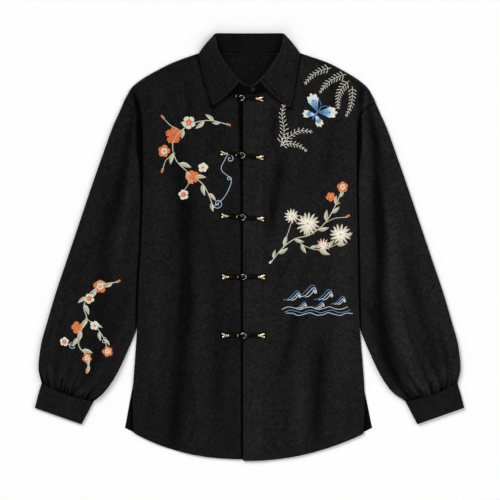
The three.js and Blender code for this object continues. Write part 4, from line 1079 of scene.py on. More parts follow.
# Round things
def tube_mesh(path, radius, sides=10, twist=0.0, knurl=0.0, strands=3):
    """Points and faces of a capped tube along a path, wound like a twisted cord if knurl is set."""
    path = np.asarray(path, float)
    n = len(path)
    tangent = unit(np.gradient(path, axis=0))
    up = np.array([0.0, 0.0, 1.0])
    side = unit(np.cross(tangent, up) + 1e-9)
    normal = np.cross(side, tangent)
    length = np.concatenate([[0], np.cumsum(np.linalg.norm(np.diff(path, axis=0), axis=1))])
    k = np.arange(sides) / sides * 2 * math.pi
    swell = 1 + knurl * np.cos(strands * (k[None, :] + twist * length[:, None]))
    ring = np.cos(k)[None, :, None] * side[:, None] + np.sin(k)[None, :, None] * normal[:, None]
    rows = path[:, None] + radius * swell[..., None] * ring
    cap = tangent * radius * 0.3
    points = np.concatenate([rows.reshape(-1, 3), path[:1] - cap[:1], path[-1:] + cap[-1:]])
    quads = grid_faces(n, sides, True)
    j = np.arange(sides)
    first, last = n * sides, n * sides + 1
    end = (n - 1) * sides
    caps = np.concatenate([
        np.stack([j, (j + 1) % sides, np.full(sides, first)], -1)[:, ::-1],
        np.stack([end + j, end + (j + 1) % sides, np.full(sides, last)], -1),
    ])
    return points, quads, caps


def fat_tube(path, sides, size, nose=0.0):
    """A capped tube whose section of radius 1 grows by size, given for each point of the path."""
    points, quads, caps = tube_mesh(path, 1.0, sides)
    ring = points[:-2].reshape(len(path), sides, 3)
    ring = path[:, None] + (ring - path[:, None]) * size
    return np.concatenate([ring.reshape(-1, 3), path[:1], path[-1:] + [[nose, 0, 0]]]), quads, caps


def poly_mesh(name, parts, mat):
    """One object from several (points, quads, triangles)."""
    points, loops, sizes, start = [], [], [], 0
    for p, quads, tris in parts:
        points.append(np.asarray(p, float))
        for f in (quads, tris):
            loops.append((np.asarray(f, int) + start).ravel())
            sizes.append(np.full(len(f), np.shape(f)[1]))
        start += len(p)
    return add_mesh(name, np.concatenate(points), np.concatenate(loops), np.concatenate(sizes), mat)


def smooth_path(points, count):
    """A Catmull-Rom path through points, count points long, evenly spaced."""
    p = np.asarray(points, float)
    p = np.concatenate([[2 * p[0] - p[1]], p, [2 * p[-1] - p[-2]]])
    out = []
    for k in range(1, len(p) - 2):
        t = np.linspace(0, 1, 12, endpoint=False)[:, None]
        a, b, c, d = p[k - 1], p[k], p[k + 1], p[k + 2]
        bends = (2 * a - 5 * b + 4 * c - d) * t**2 + (3 * b - a - 3 * c + d) * t**3
        out.append(0.5 * ((2 * b) + (c - a) * t + bends))
    out = np.concatenate(out + [p[-2:-1]])
    step = np.concatenate([[0], np.cumsum(np.linalg.norm(np.diff(out, axis=0), axis=1))])
    even = np.linspace(0, step[-1], count)
    return np.stack([np.interp(even, step, out[:, c]) for c in range(out.shape[1])], -1)


# Fastenings
LIFT = 0.3
CORD_R = 0.85
CORD_APART = 1.15
TIP_ROOT = 26.6
BUTTON_R, BUTTON_H = 3.9, 5.0
BEZEL_R, BEZEL_WIRE, BEZEL_OPENING, BEZEL_TURN = 4.75, 0.55, 1.3, 3.54
BAND_AT, BAND_WIDTH = -10.6, 1.4
CORD_SIDES, CORD_TWIST, CORD_KNURL = 12, 2.2, 0.09


def cord(path):
    return tube_mesh(path, CORD_R, CORD_SIDES, CORD_TWIST, CORD_KNURL)


def cloth_under(x):
    if x >= EDGE_X:
        return PLACKET_TOP if x < EDGE_X + PLACKET_WIDTH else BODY_LOFT
    return float(lerp(BODY_LOFT, UNDER_Z, ease(x, EDGE_X - DIP_WIDTH, EDGE_X - 2)))


def placed(points, x, y, tilt, z=0.0):
    p = np.asarray(points, float)
    c, s = math.cos(tilt), math.sin(tilt)
    return np.stack([x + p[:, 0] * c - p[:, 1] * s, y + p[:, 0] * s + p[:, 1] * c, p[:, 2] + z], -1)


# Along a lobe of the forked tip from its root: where it goes, and how thick it is
LOBE = table("ahead aside up", (0.4, 0.75, 1.0), (5, 1.0, 1.05), (9.5, 2.1, 1.15), (13, 3.3, 1.15))
LOBE_THICK = table("share radius", (0, 0.95), (0.25, 0.95), (0.5, 1.25), (0.78, 1.85), (0.93, 1.5), (1, 0.7))
TIP_RINGS = ((0.7, 2.0), (2.2, 1.8))  # the collar's two rings: how far from the root, and their radius


def fork_tip(side):
    """A cast forked tip: a collar at its root, then two plump lobes with a groove between them."""
    parts = []
    for up in (-1, 1):
        path = smooth_path(np.stack([TIP_ROOT + LOBE["ahead"], up * LOBE["aside"], LOBE["up"]], -1), 26)
        radius = np.interp(np.linspace(0, 1, 26), LOBE_THICK["share"], LOBE_THICK["radius"])
        parts.append(fat_tube(path, 14, radius[:, None, None] * np.array([1, 1, 0.62]), 0.5))
    for ahead, r in TIP_RINGS:
        path = np.array([(TIP_ROOT + ahead + d, 0, 1.05) for d in (-0.55, -0.3, 0.3, 0.55)])
        size = np.array([0.86, 1, 1, 0.86])[:, None, None] * r
        parts.append(fat_tube(path, 18, size * np.array([1, 1, 0.55])))
    if side < 0:
        parts = [(p * np.array([-1, -1, 1]), q, c) for p, q, c in parts]
    return parts


def lathe(profile, sides=40):
    """Points, quads and caps of a round solid about Z from (radius, height) pairs, off the axis."""
    r, z = np.asarray(profile, float).T
    k = np.arange(sides) / sides * 2 * math.pi
    rows = np.stack([r[:, None] * np.cos(k), r[:, None] * np.sin(k), z[:, None] + 0 * k], -1)
    n = len(r)
    points = np.concatenate([rows.reshape(-1, 3), [[0, 0, z[0]], [0, 0, z[-1]]]])
    j = np.arange(sides)
    end = (n - 1) * sides
    caps = np.concatenate([
        np.stack([(j + 1) % sides, j, np.full(sides, n * sides)], -1),
        np.stack([end + j, end + (j + 1) % sides, np.full(sides, n * sides + 1)], -1),
    ])
    return points, grid_faces(n, sides, True), caps


def moved(part, x, y, tilt, z):
    return (placed(part[0], x, y, tilt, z), part[1], part[2])


def ball_profile():
    """Radii and heights of the ball button, a little squarer than a ball."""
    rows = [(BUTTON_R * 0.7, 0)]
    for a in np.linspace(-1.35, 1.5, 22):
        radius = BUTTON_R * math.cos(a) ** 0.8 if a < 1.5 else 0.15
        rows.append((radius, BUTTON_H * (0.45 + (0.55 if a > 0 else 0.45) * math.sin(a))))
    return rows


def build_fastening(index):
    x, y, tilt, swing = (FASTENINGS[c][index] for c in ("x", "y", "tilt", "swing"))
    swung = tilt + swing
    base = PLACKET_TOP + LIFT

    def add(name, parts, slot):
        node = "fastening_%d_%s" % (index + 1, name)
        piece(poly_mesh("shirt_" + node, parts, HARDWARE[slot]), slot, node)

    loop_z = base + CORD_R
    lie = lambda d: cloth_under(x + d) + LIFT + CORD_R
    end = TIP_ROOT - SEAM
    strand = lambda d, up: (d, up * CORD_APART, max(lie(d), loop_z if d > -22 else 0))
    arc = []
    for n in range(1, 8):
        angle = math.pi - 0.45 - (2 * math.pi - 0.9) * n / 8
        arc.append((LOOP_R * math.cos(angle), LOOP_R * math.sin(angle), loop_z))
    towards = [strand(-end, 1), strand(-20, 1), strand(-13, 1), (-8.4, 1.7, loop_z)]
    away = [(-8.4, -1.7, loop_z), strand(-13, -1), strand(-20, -1), strand(-end, -1)]
    loop = cord(smooth_path(towards + arc + away, dense(230)))
    add("loop", [moved(loop, x, y, swung, 0)], "cord_black")

    near = LOOP_R + 2 * CORD_R + SEAM
    tab = [(end, CORD_APART, lie(end)), (18, CORD_APART, loop_z), (near + 2.4, CORD_APART, loop_z)]
    back = [(near + 0.9, 0, loop_z)] + [(d, -up, z) for d, up, z in reversed(tab)]
    add("tab", [moved(cord(smooth_path(tab + back, dense(120))), x, y, tilt, 0)], "cord_black")

    for name, side in (("tip_left", 1), ("tip_right", -1)):
        z = cloth_under(x + side * TIP_ROOT) + LIFT
        add(name, [moved(p, x, y, tilt if side > 0 else swung, z) for p in fork_tip(side)], "pale_gold")

    add("button", [moved(lathe(ball_profile(), 36), x, y, tilt, base)], "button_black")

    share = np.linspace(0, 1, 60)
    angle = np.linspace(BEZEL_OPENING / 2, 2 * math.pi - BEZEL_OPENING / 2, 60) + BEZEL_TURN
    path = np.stack([BEZEL_R * np.cos(angle), BEZEL_R * np.sin(angle), BEZEL_WIRE + 0 * angle], -1)
    fat = 0.55 + 0.9 * np.sin(math.pi * share) ** 0.8
    bezel = fat_tube(path, 12, fat[:, None, None] * np.array([0.55, 0.55, 0.9]))
    add("bezel", [moved(bezel, x, y, tilt, base + 1.2)], "pale_gold")

    beads = []
    for up in (-1, 1):
        along = (-BAND_WIDTH / 2, -0.45, -0.15, 0.15, 0.45, BAND_WIDTH / 2)
        path = np.array([(BAND_AT + d, up * CORD_APART, CORD_R) for d in along])
        size = np.array([1.0, 1.18, 1.25, 1.25, 1.18, 1.0])[:, None, None] * CORD_R
        beads.append(moved(fat_tube(path, 16, size), x, y, swung, base))
    add("band", beads, "pale_gold")


for index in range(len(FASTENINGS["x"])):
    build_fastening(index)

# Collar button: a dished disc on the overlap of the stand, sewn on by two rows of thread
BUTTON_AT = {"t": 12.4, "x": 5.8, "y": 292.6, "radius": 6.4, "height": 2.4, "lift": 0.95, "dish": 0.66}
THREAD_REACH, THREAD_R = 1.7, 0.3
DISC = ((0.84, 0), (0.93, 0.06), (0.99, 0.25), (1.0, 0.45), (0.985, 0.75), (0.93, 0.95), (0.86, 1.0),
        (0.8, 0.96), (0.72, 0.78), (0.5, 0.68), (0.25, 0.66), (0.02, 0.66))


def build_collar_button():
    a, up, inward = (v[0] for v in stand_lines(np.array([BUTTON_AT["t"]])))
    low = a - inward * STAND_OVERLAP
    high = low + up
    lean = math.atan2(high[2] - low[2], math.hypot(high[0] - low[0], high[1] - low[1]))
    z = lerp(low[2], high[2], (BUTTON_AT["y"] - low[1]) / (high[1] - low[1]))
    r, h = BUTTON_AT["radius"], BUTTON_AT["height"]
    at = Matrix.Translation((BUTTON_AT["x"], BUTTON_AT["y"], z))
    turn = np.array(at @ Matrix.Rotation(lean, 4, "X") @ Matrix.Translation((0, 0, BUTTON_AT["lift"])))

    def put(p):
        return np.asarray(p) @ turn[:3, :3].T + turn[:3, 3]

    points, quads, caps = lathe([(r * u, h * v) for u, v in DISC], 48)
    obj = poly_mesh("shirt_collar_button", [(put(points), quads, caps)], HARDWARE["button_black"])
    piece(obj, "button_black", "collar_button")
    c, top = THREAD_REACH * math.cos(math.pi / 4), h * BUTTON_AT["dish"]
    threads = []
    for row in (-c, c):
        path = [(-c, row, top + 0.15), (0, row, top + 0.55), (c, row, top + 0.15)]
        threads.append(tube_mesh(put(smooth_path(path, 12)), THREAD_R, 8))
    piece(poly_mesh("shirt_collar_button_thread", threads, THREAD_BLACK), "cloth_black")


build_collar_button()

# Needlework: every thread is laid on the cloth below it
NEEDLE = np.random.default_rng(23)
THREADS = {}


def ground_of(*objects):
    """The cloth that a motif lies on, for finding its height."""
    view = bpy.context.evaluated_depsgraph_get()
    trees = [BVHTree.FromObject(obj, view) for obj in objects]

    def height(x, y):
        hits = [tree.ray_cast(Vector((x * MM, y * MM, 0.2)), Vector((0, 0, -1)))[0] for tree in trees]
        return max((hit.z / MM for hit in hits if hit), default=None)

    return height


def polar(angle, length=1.0):
    return np.array([math.cos(angle), math.sin(angle)]) * length


# How a stitch widens and rises along its length
STITCH = table("along wide up", (0, 0.5, 0.05), (0.28, 1, 0.36), (0.72, 1, 0.36), (1, 0.5, 0.05))


def stitch(ground, colour, a, b, width=0.8, tone=0.5, lift=0.0):
    """A plump thread on the cloth from a to b, in the plane of the floor."""
    a, b = np.asarray(a, float), np.asarray(b, float)
    run = b - a
    length = math.hypot(*run)
    if length < 0.3:
        return
    across = np.array([-run[1], run[0]]) / length * width / 2
    points = []
    for along, wide, up in zip(STITCH["along"], STITCH["wide"], STITCH["up"]):
        p = a + run * along
        z = ground(*p)
        if z is None:
            return
        z += lift
        side = across * wide
        points += [(*(p - side), z), (*p, z + up * width + 0.04), (*(p + side), z)]
    THREADS.setdefault(colour, []).append((points, float(np.clip(tone + NEEDLE.normal(0, 0.09), 0, 1))))


def stem(ground, colour, points, width=1.0, tone=0.5, step=2.6, lift=0.0):
    """Stem stitch along a curve through points: short threads that overlap."""
    flat = np.array([(x, y, 0.0) for x, y in points])
    rough = np.sum(np.linalg.norm(np.diff(flat, axis=0), axis=1))
    path = smooth_path(flat, max(3, int(rough * 1.06 / step)))[:, :2]
    for a, b in zip(path[:-1], path[1:]):
        run = (b - a) / (np.linalg.norm(b - a) + 1e-9)
        aside = np.array([-run[1], run[0]]) * width * 0.16
        stitch(ground, colour, a - run * 0.7 - aside, b + run * 0.7 + aside, width, tone, lift)
    return path


def leaf(ground, colour, base, heading, length, width, tone=0.5, lift=0.08, bend=0.0):
    """A pointed leaf in satin stitch, slanting from its rib to its rim, one half darker."""
    n = max(4, int(length / 0.85))
    for side in (-1, 1):
        for k in range(n):
            t = (k + 0.5) / n
            turn = heading + bend * t
            rib = base + polar(turn, length * max(t - 0.14, 0))
            half = width / 2 * math.sin(math.pi * t**0.85)
            rim = base + polar(turn, length * t) + polar(turn + side * math.pi / 2, half)
            stitch(ground, colour, rib, rim, 0.78, tone + 0.22 * side, lift)
    middle = base + polar(heading + bend * 0.5, length * 0.5)
    tip = base + polar(heading + bend, length * 0.96)
    stem(ground, colour, [base, middle, tip], 0.6, tone - 0.35, 2.4, lift + 0.25)


def fan(ground, bands, centre, heading, inner, length, spread, threads, lift):
    """A rounded petal of threads fanning out. bands: colour, tone and where each stops along the petal."""
    wide = 0.55 + 0.055 * length * spread
    for k in range(threads):
        u = (k + 0.5) / threads * 2 - 1
        way = polar(heading + u * spread)
        rounded = math.cos(u * 1.12) ** 0.4 * (0.94 + 0.06 * math.cos(3.2 * math.pi * u))
        reach = inner + (length - inner) * rounded
        start = inner
        for colour, tone, stop in bands:
            end = lerp(inner, reach, min(1.0, stop + (0.07 * (-1) ** k if stop < 1 else 0)))
            stitch(ground, colour, centre + way * start, centre + way * (end + 0.25), wide, tone, lift)
            start = end


def knots(ground, colour, centre, radius, count, size=0.95, tone=0.6, lift=0.5):
    """A cluster of small round knots."""
    for k in range(count):
        spot = centre + polar(2.4 * k, radius * math.sqrt((k + 0.4) / count))
        way = polar(1.7 * k, size * 0.55)
        stitch(ground, colour, spot - way, spot + way, size, tone, lift)


def blossom(ground, outer, inner, heart, centre, radius, turn=0.0, petals=5):
    """A five-petalled flower, its inner petals between the outer ones."""
    centre = np.asarray(centre, float)
    step = 2 * math.pi / petals
    spread = step * 0.47
    for k in range(petals):
        bands = [(inner, 0.35, 0.36), (outer, 0.5, 0.72), (outer, 0.85, 1.0)]
        heading = turn + k * step + NEEDLE.normal(0, 0.05)
        far = radius * NEEDLE.uniform(0.93, 1.05)
        fan(ground, bands, centre, heading, radius * 0.16, far, spread, 11, 0.1)
    for k in range(petals):
        bands = [(inner, 0.2, 0.55), (inner, 0.75, 1.0)]
        heading = turn + (k + 0.5) * step
        fan(ground, bands, centre, heading, radius * 0.1, radius * 0.54, spread * 0.72, 6, 0.42)
    knots(ground, heart, centre, radius * 0.2, 8, lift=0.75)


def daisy(ground, petal, shade, heart, centre, radius, turn=0.0, count=15):
    """A chrysanthemum: three rings of narrow petals, each of four threads."""
    centre = np.asarray(centre, float)
    rings = ((1.0, 0.3, 0.1, 0.42), (0.74, 0.2, 0.4, 0.66), (0.47, 0.1, 0.7, 0.92))
    for ring, (reach, start, lift, tone) in enumerate(rings):
        n = count - 3 * ring
        for k in range(n):
            angle = turn + (k + 0.5 * ring) / n * 2 * math.pi + NEEDLE.normal(0, 0.04)
            way, aside = polar(angle), polar(angle + math.pi / 2)
            wide = radius * reach * math.pi / n * 0.52
            for o in (-1, -0.33, 0.33, 1):
                end = radius * reach * (1 - 0.16 * o * o) * NEEDLE.uniform(0.96, 1.03)
                a = centre + way * radius * start * reach + aside * o * wide * 0.35
                b = centre + way * end + aside * o * wide * 0.6
                colour = petal if ring or abs(o) < 0.9 else shade
                stitch(ground, colour, a, b, wide * 0.62, tone + 0.2 * o, lift)
    knots(ground, heart, centre, radius * 0.16, 9, lift=1.0)


def bud(ground, petal, green, base, heading, length):
    """Four petal threads in a cup of three green ones."""
    foot, root = base + polar(heading, length * 0.2), base - polar(heading, length * 0.1)
    for k, u in enumerate((-0.5, -0.17, 0.17, 0.5)):
        tip = base + polar(heading + u * 0.55, length * (1 - 0.25 * abs(u)))
        stitch(ground, petal, foot, tip, 1.3, 0.4 + 0.15 * k, 0.2)
    for u in (-1, 0, 1):
        stitch(ground, green, root, base + polar(heading + u * 0.65, length * 0.42), 0.9, 0.45, 0.4)


def frond(ground, colour, points, size, pairs, width=0.9):
    """A fern: paired leaflets that shorten towards the tip."""
    path = stem(ground, colour, points, width, 0.45, 2.4)
    for k in range(pairs):
        t = (k + 0.8) / (pairs + 0.6)
        at = t * (len(path) - 1)
        i = min(int(at), len(path) - 2)
        spot = lerp(path[i], path[i + 1], at - i)
        run = path[i + 1] - path[i]
        ahead = math.atan2(run[1], run[0])
        long = size * (1 - 0.6 * t) * NEEDLE.uniform(0.85, 1.1)
        for side in (-1, 1):
            a = ahead + side * (1.1 - 0.35 * t)
            tip = spot + polar(a, long)
            stitch(ground, colour, spot, tip, 0.8, 0.6, 0.08)
            past = tip + polar(a - side * 0.5, long * 0.16)
            stitch(ground, colour, lerp(spot, tip, 0.4), past, 0.85, 0.8, 0.2)


def curl(ground, colour, start, heading, size, turns, way=1, width=0.8, tone=0.6):
    """A tendril that ends in a spiral."""
    points, angle, at = [], heading, np.asarray(start, float)
    steps = int(22 * turns)
    for k in range(steps + 1):
        points.append(tuple(at))
        angle += way * 2 * math.pi * turns / steps
        at = at + polar(angle, size * (1 - 0.9 * k / steps) * 2 * math.pi / 22)
    stem(ground, colour, points, width, tone, 2.0)


def wave(ground, x, y, size):
    """A rolling wave: three lines that rise from the left and curl over."""
    for k, colour in enumerate(("blue", "pale", "cream")):
        r = size * (1 - 0.22 * k)
        top = np.array([x + 0.16 * size * k, y - 0.3 * size * k])
        rise = [(-2.1, -1.25), (-1.35, -1.05), (-0.7, -0.45), (-0.2, 0.1)]
        stem(ground, colour, [tuple(top + np.array(q) * r) for q in rise], 1.1, 0.35 + 0.2 * k)
        curl(ground, colour, top + np.array(rise[-1]) * r, 0.75, r * 0.42, 1.2, -1, 1.1, 0.35 + 0.2 * k)


def sprig(ground, path, size, *rows):
    """Leaves along a stem: rows of share along, side, turn and scale."""
    for share, side, turn, scale in rows:
        i = min(int(share * (len(path) - 1)), len(path) - 2)
        run = path[i + 1] - path[i]
        heading = math.atan2(run[1], run[0]) + side * turn
        long = size * scale
        leaf(ground, "sage", path[i], heading, 1.3 * long, 0.47 * long, 0.55, bend=-side * 0.3)


def twigs(ground, *paths):
    for points in paths:
        stem(ground, "beige", points, 1.2, 0.45)


def blossoms(ground, *rows):
    for outer, inner, heart, x, y, radius, turn in rows:
        blossom(ground, outer, inner, heart, (x, y), radius, turn)


def buds(ground, *rows):
    for petal, x, y, heading, length in rows:
        bud(ground, petal, "sage", np.array([x, y], float), heading, length)


def chest_branch():
    """Coral blossoms on a curving branch, on the wearer's right of the chest."""
    on = ground_of(FRONT["right"])
    way = [(-42, 226), (-76, 233), (-112, 224), (-140, 196), (-137, 162), (-112, 136), (-84, 112), (-66, 72)]
    branch = stem(on, "beige", way, 1.7, 0.4)
    twigs(on, [(-128, 214), (-146, 224), (-158, 236)], [(-138, 172), (-154, 160), (-160, 144)],
          [(-112, 136), (-112, 118), (-122, 102)])
    sprig(on, branch, 17, (0.05, 1, 0.6, 0.7), (0.1, -1, 0.8, 0.9), (0.17, 1, 0.9, 1), (0.24, -1, 0.7, 1.1),
          (0.33, 1, 1, 0.8), (0.52, -1, 0.8, 1), (0.6, 1, 0.8, 1.1), (0.68, -1, 0.7, 1.2),
          (0.75, 1, 0.9, 1),
          (0.82, -1, 0.8, 1), (0.9, 1, 0.7, 0.9), (0.97, -1, 0.5, 0.8))
    blossoms(on, ("coral", "coral", "cream", -140, 206, 17, 0.3),
             ("cream", "coral", "beige", -112, 229, 13.5, 0.9),
             ("coral", "cream", "beige", -158, 176, 12, 0.1),
             ("coral", "coral", "cream", -106, 128, 13.5, 0.6),
             ("cream", "cream", "coral", -86, 146, 9.5, 0.2), ("cream", "coral", "beige", -122, 96, 10, 0.5))
    buds(on, ("coral", -158, 236, 2.2, 9), ("coral", -160, 144, -1.9, 9), ("coral", -42, 226, -0.3, 8))
    curl(on, "pale", (-66, 74), -1.0, 9, 1.5, 1, 0.9)
    stem(on, "pale", [(-66, 74), (-46, 92), (-34, 122), (-52, 142), (-44, 164)], 0.9, 0.6)
    curl(on, "pale", (-44, 164), 1.4, 8, 1.4, -1, 0.9)
    curl(on, "pale", (-34, 122), 0.9, 5, 1.2, 1, 0.8)


def shoulder_fern():
    """A butterfly over fern fronds, on the wearer's left shoulder."""
    on = ground_of(FRONT["left"])
    for points, size, pairs in (
        ([(58, 186), (64, 214), (60, 244), (66, 270)], 11, 11),
        ([(58, 186), (78, 206), (94, 214), (116, 212)], 10, 9),
        ([(58, 186), (74, 190), (92, 186), (106, 176)], 8, 8),
        ([(178, 318), (160, 312), (142, 300), (130, 284)], 10, 10),
        ([(184, 306), (172, 294), (164, 276), (164, 254)], 10, 10),
        ([(190, 296), (190, 276), (186, 256), (178, 240)], 9, 9),
        ([(150, 330), (134, 326), (116, 316), (102, 300)], 9, 9),
    ):
        frond(on, "cream", points, size, pairs)
    heart, way = np.array([124.0, 246.0]), 0.95
    for side in (-1, 1):
        upper = [("blue", 0.15, 0.3), ("blue", 0.55, 0.62), ("pale", 0.5, 0.84), ("cream", 0.9, 1.0)]
        lower = [("pale", 0.3, 0.35), ("blue", 0.5, 0.7), ("cream", 0.8, 1.0)]
        wing = way + side * 0.98
        fan(on, lower, heart - polar(way, 3), way + side * 2.1, 2.0, 25, 0.42, 15, 0.12)
        fan(on, upper, heart + polar(way, 3), wing, 2.0, 37, 0.4, 19, 0.35)
        spot = heart + polar(way, 3) + polar(wing, 20)
        fan(on, [("blue", 0.2, 0.6), ("cream", 0.8, 1.0)], spot, wing, 0.8, 7, 0.9, 8, 0.7)
        feeler = [heart + polar(way + side * a, far) for a, far in ((0, 12), (0.2, 20), (0.5, 27))]
        stem(on, "blue", feeler, 0.7, 0.6, lift=0.4)
        knots(on, "cream", heart + polar(way + side * 0.5, 28), 0.8, 3)
    for aside in (-1.1, 0, 1.1):
        foot = heart - polar(way, 13) + polar(way + 1.57, aside * 0.4)
        middle = heart + polar(way + 1.57, aside)
        stem(on, "blue", [foot, middle, heart + polar(way, 12)], 1.5, 0.1, lift=0.8)


def waist_garden():
    """Chrysanthemums on arching stems over rolling waves, on the wearer's left at the waist."""
    on = ground_of(FRONT["left"])
    way = [(42, -26), (62, -2), (84, 14), (112, 22), (140, 44), (160, 78), (172, 108)]
    main = stem(on, "beige", way, 1.7, 0.4)
    side = stem(on, "beige", [(84, 14), (104, 0), (132, -6), (164, 6), (186, 26)], 1.4, 0.4)
    twigs(on, [(62, -2), (70, 22), (78, 46)], [(140, 44), (158, 52), (178, 54)])
    sprig(on, main, 16, (0.03, 1, 0.8, 0.8), (0.1, -1, 0.7, 1), (0.19, 1, 0.9, 1), (0.3, -1, 1, 0.9),
          (0.42, 1, 0.9, 1.1), (0.55, -1, 0.8, 1), (0.66, 1, 0.9, 1), (0.75, -1, 0.7, 0.9),
          (0.84, 1, 0.7, 0.8),
          (0.92, -1, 0.6, 0.7))
    sprig(on, side, 15, (0.15, -1, 0.8, 1), (0.3, 1, 0.8, 0.8), (0.45, -1, 0.8, 1.1), (0.6, 1, 0.9, 0.9),
          (0.72, -1, 0.8, 0.9), (0.92, -1, 0.6, 0.7))
    for shade, heart, *at, radius, turn, count in (
        ("beige", "coral", 108, 42, 22, 0.2, 15), ("beige", "coral", 168, 22, 20, 0.5, 14),
        ("beige", "coral", 78, 56, 14, 0.1, 12), ("coral", "beige", 136, 2, 13, 0.4, 12),
    ):
        daisy(on, "cream", shade, heart, at, radius, turn, count)
    blossoms(on, ("coral", "cream", "beige", 172, 110, 10.5, 0.4),
             ("coral", "coral", "cream", 150, 92, 9, 0.9))
    buds(on, ("coral", 178, 54, 0.5, 9), ("coral", 160, 78, 0.4, 8), ("cream", 42, -26, -2.4, 8))
    for x, y, size in ((88, -84, 12), (116, -74, 15), (147, -82, 13), (172, -94, 10), (101, -104, 8),
                       (134, -104, 8)):
        wave(on, x, y, size)
    for low, colour in ((-114, "cream"), (-120, "blue"), (-125, "pale")):
        swell = [(60 + 11 * k + (low + 114) * -0.8, low + 2.6 * math.sin(1.9 * k + low)) for k in range(12)]
        stem(on, colour, swell, 1.0, 0.6)


def sleeve_spray():
    """A winding spray on the wearer's right sleeve, above the gathers."""
    on = ground_of(SLEEVES["right"])
    way = [(-246, -66), (-268, -70), (-292, -84), (-306, -110), (-300, -138), (-316, -160), (-314, -186),
           (-296, -206), (-300, -226)]
    main = stem(on, "beige", way, 1.7, 0.4)
    side = stem(on, "beige", [(-303, -132), (-286, -146), (-270, -168), (-262, -192)], 1.3, 0.45)
    twigs(on, [(-314, -176), (-330, -182), (-344, -174)])
    sprig(on, main, 16, (0.04, 1, 0.7, 0.8), (0.1, -1, 0.8, 0.9), (0.2, 1, 0.8, 1), (0.3, -1, 0.8, 1),
          (0.38, 1, 0.9, 1), (0.5, -1, 0.8, 1.1), (0.62, 1, 0.8, 1), (0.7, -1, 0.8, 0.9), (0.82, 1, 0.8, 1),
          (0.9, -1, 0.7, 0.9), (0.97, 1, 0.5, 0.8))
    sprig(on, side, 14, (0.3, 1, 0.8, 0.9), (0.5, -1, 0.8, 1), (0.75, 1, 0.7, 0.8), (0.95, -1, 0.5, 0.8))
    blossoms(on, ("coral", "cream", "beige", -276, -74, 13, 0.3),
             ("cream", "coral", "beige", -296, -96, 10, 0.8),
             ("coral", "coral", "cream", -318, -150, 12, 0.5),
             ("cream", "cream", "coral", -286, -146, 9, 0.1),
             ("coral", "cream", "beige", -262, -194, 10, 0.6),
             ("cream", "coral", "beige", -342, -176, 8.5, 0.2),
             ("coral", "cream", "beige", -300, -206, 9, 0.9))
    buds(on, ("coral", -246, -66, 0.4, 9), ("coral", -300, -226, -1.7, 9))
    curl(on, "pale", (-322, -186), -2.2, 7, 1.3, -1, 0.9)
    curl(on, "pale", (-270, -168), 0.2, 6, 1.3, -1, 0.9)


for motif in (chest_branch, shoulder_fern, waist_garden, sleeve_spray):
    motif()

# Sewing: a run of short stitches, each 2.3 mm long
SEWN, SEWN_PITCH, SEWN_WIDTH = 2.3, 3.0, 0.5


def sew(ground, points):
    """Topstitching along a polyline."""
    p = np.asarray(points, float)[:, :2]
    along = np.concatenate([[0], np.cumsum(np.linalg.norm(np.diff(p, axis=0), axis=1))])
    starts = np.arange(0.5, along[-1] - SEWN, SEWN_PITCH)
    at = lambda d: np.stack([np.interp(d, along, p[:, c]) for c in (0, 1)], -1)
    for a, b in zip(at(starts), at(starts + SEWN)):
        stitch(ground, "black", a, b, SEWN_WIDTH, 0.5, 0.02)


def sew_shirt():
    plain = {side: ground_of(FRONT[side]) for side in SIDES}
    band = ground_of(PLACKET)
    for side, sign in SIDES.items():
        corner = BODY_EDGE[side][0]
        first = EDGE_X + PLACKET_WIDTH + 3 if side == "left" else 14.0
        x = np.linspace(first, corner - 9, 80) * sign
        sew(plain[side], stack(x, hem_y(HEM_CURVE[side], x, corner) + HEM_STITCH, 0))
        for low, high, count, inset in ((-338, -272, 12, VENT_STITCH), (287, 350, 20, SHOULDER_STITCH)):
            y = np.linspace(low, high, count)
            sew(plain[side], stack((EDGE[side](y) - inset) * sign, y, 0))
        cuff = ground_of(CUFFS[side])
        for t in (CUFF_STITCH / CUFF_DEPTH, 1 - CUFF_STITCH / CUFF_DEPTH):
            ox, oy, ix, iy, bow = (float(curve(CUFF, "t", c)(t)) for c in ("ox", "oy", "ix", "iy", "bow"))
            share = np.linspace(0.04, 0.96, 30)
            width = math.hypot(ix - ox, iy - oy)
            arch = bow * np.sin(math.pi * share)
            x = lerp(ox, ix, share) - (iy - oy) / width * arch
            sew(cuff, stack(x * sign, lerp(oy, iy, share) + (ix - ox) / width * arch, 0))
    for x in PLACKET_SEAMS:
        sew(band, [(x, -383), (x, 276)])
    corner = BODY_EDGE["left"][0]
    x = np.linspace(EDGE_X + 3, EDGE_X + PLACKET_WIDTH - 3, 8)
    sew(band, stack(x, hem_y(HEM_CURVE["left"], x, corner) + HEM_STITCH, 0))
    # round the collar, a little inside its edge
    fall = ground_of(LEAF)
    t = np.linspace(5.2, LEAF_END - 0.4, 60)
    for sign in (-1, 1):
        _, c, apex, to_leaf, centre = collar_at(t * sign)
        ray = apex * math.cos(LEAF_ROLL_END) + to_leaf * math.sin(LEAF_ROLL_END)
        down = c - (centre + COLLAR_ROLL * ray)
        sew(fall, c - down * LEAF_STITCH / np.linalg.norm(down, axis=-1, keepdims=True))
        share = np.linspace(0.05, 0.9, 20)[:, None]
        sew(fall, c[-1] - down[-1] * share)


sew_shirt()

STITCH_ROWS = len(STITCH["along"])
STITCH_FACES = [np.array((0, 1, 4, 3)) + 3 * r + c for r in range(STITCH_ROWS - 1) for c in (0, 1)]


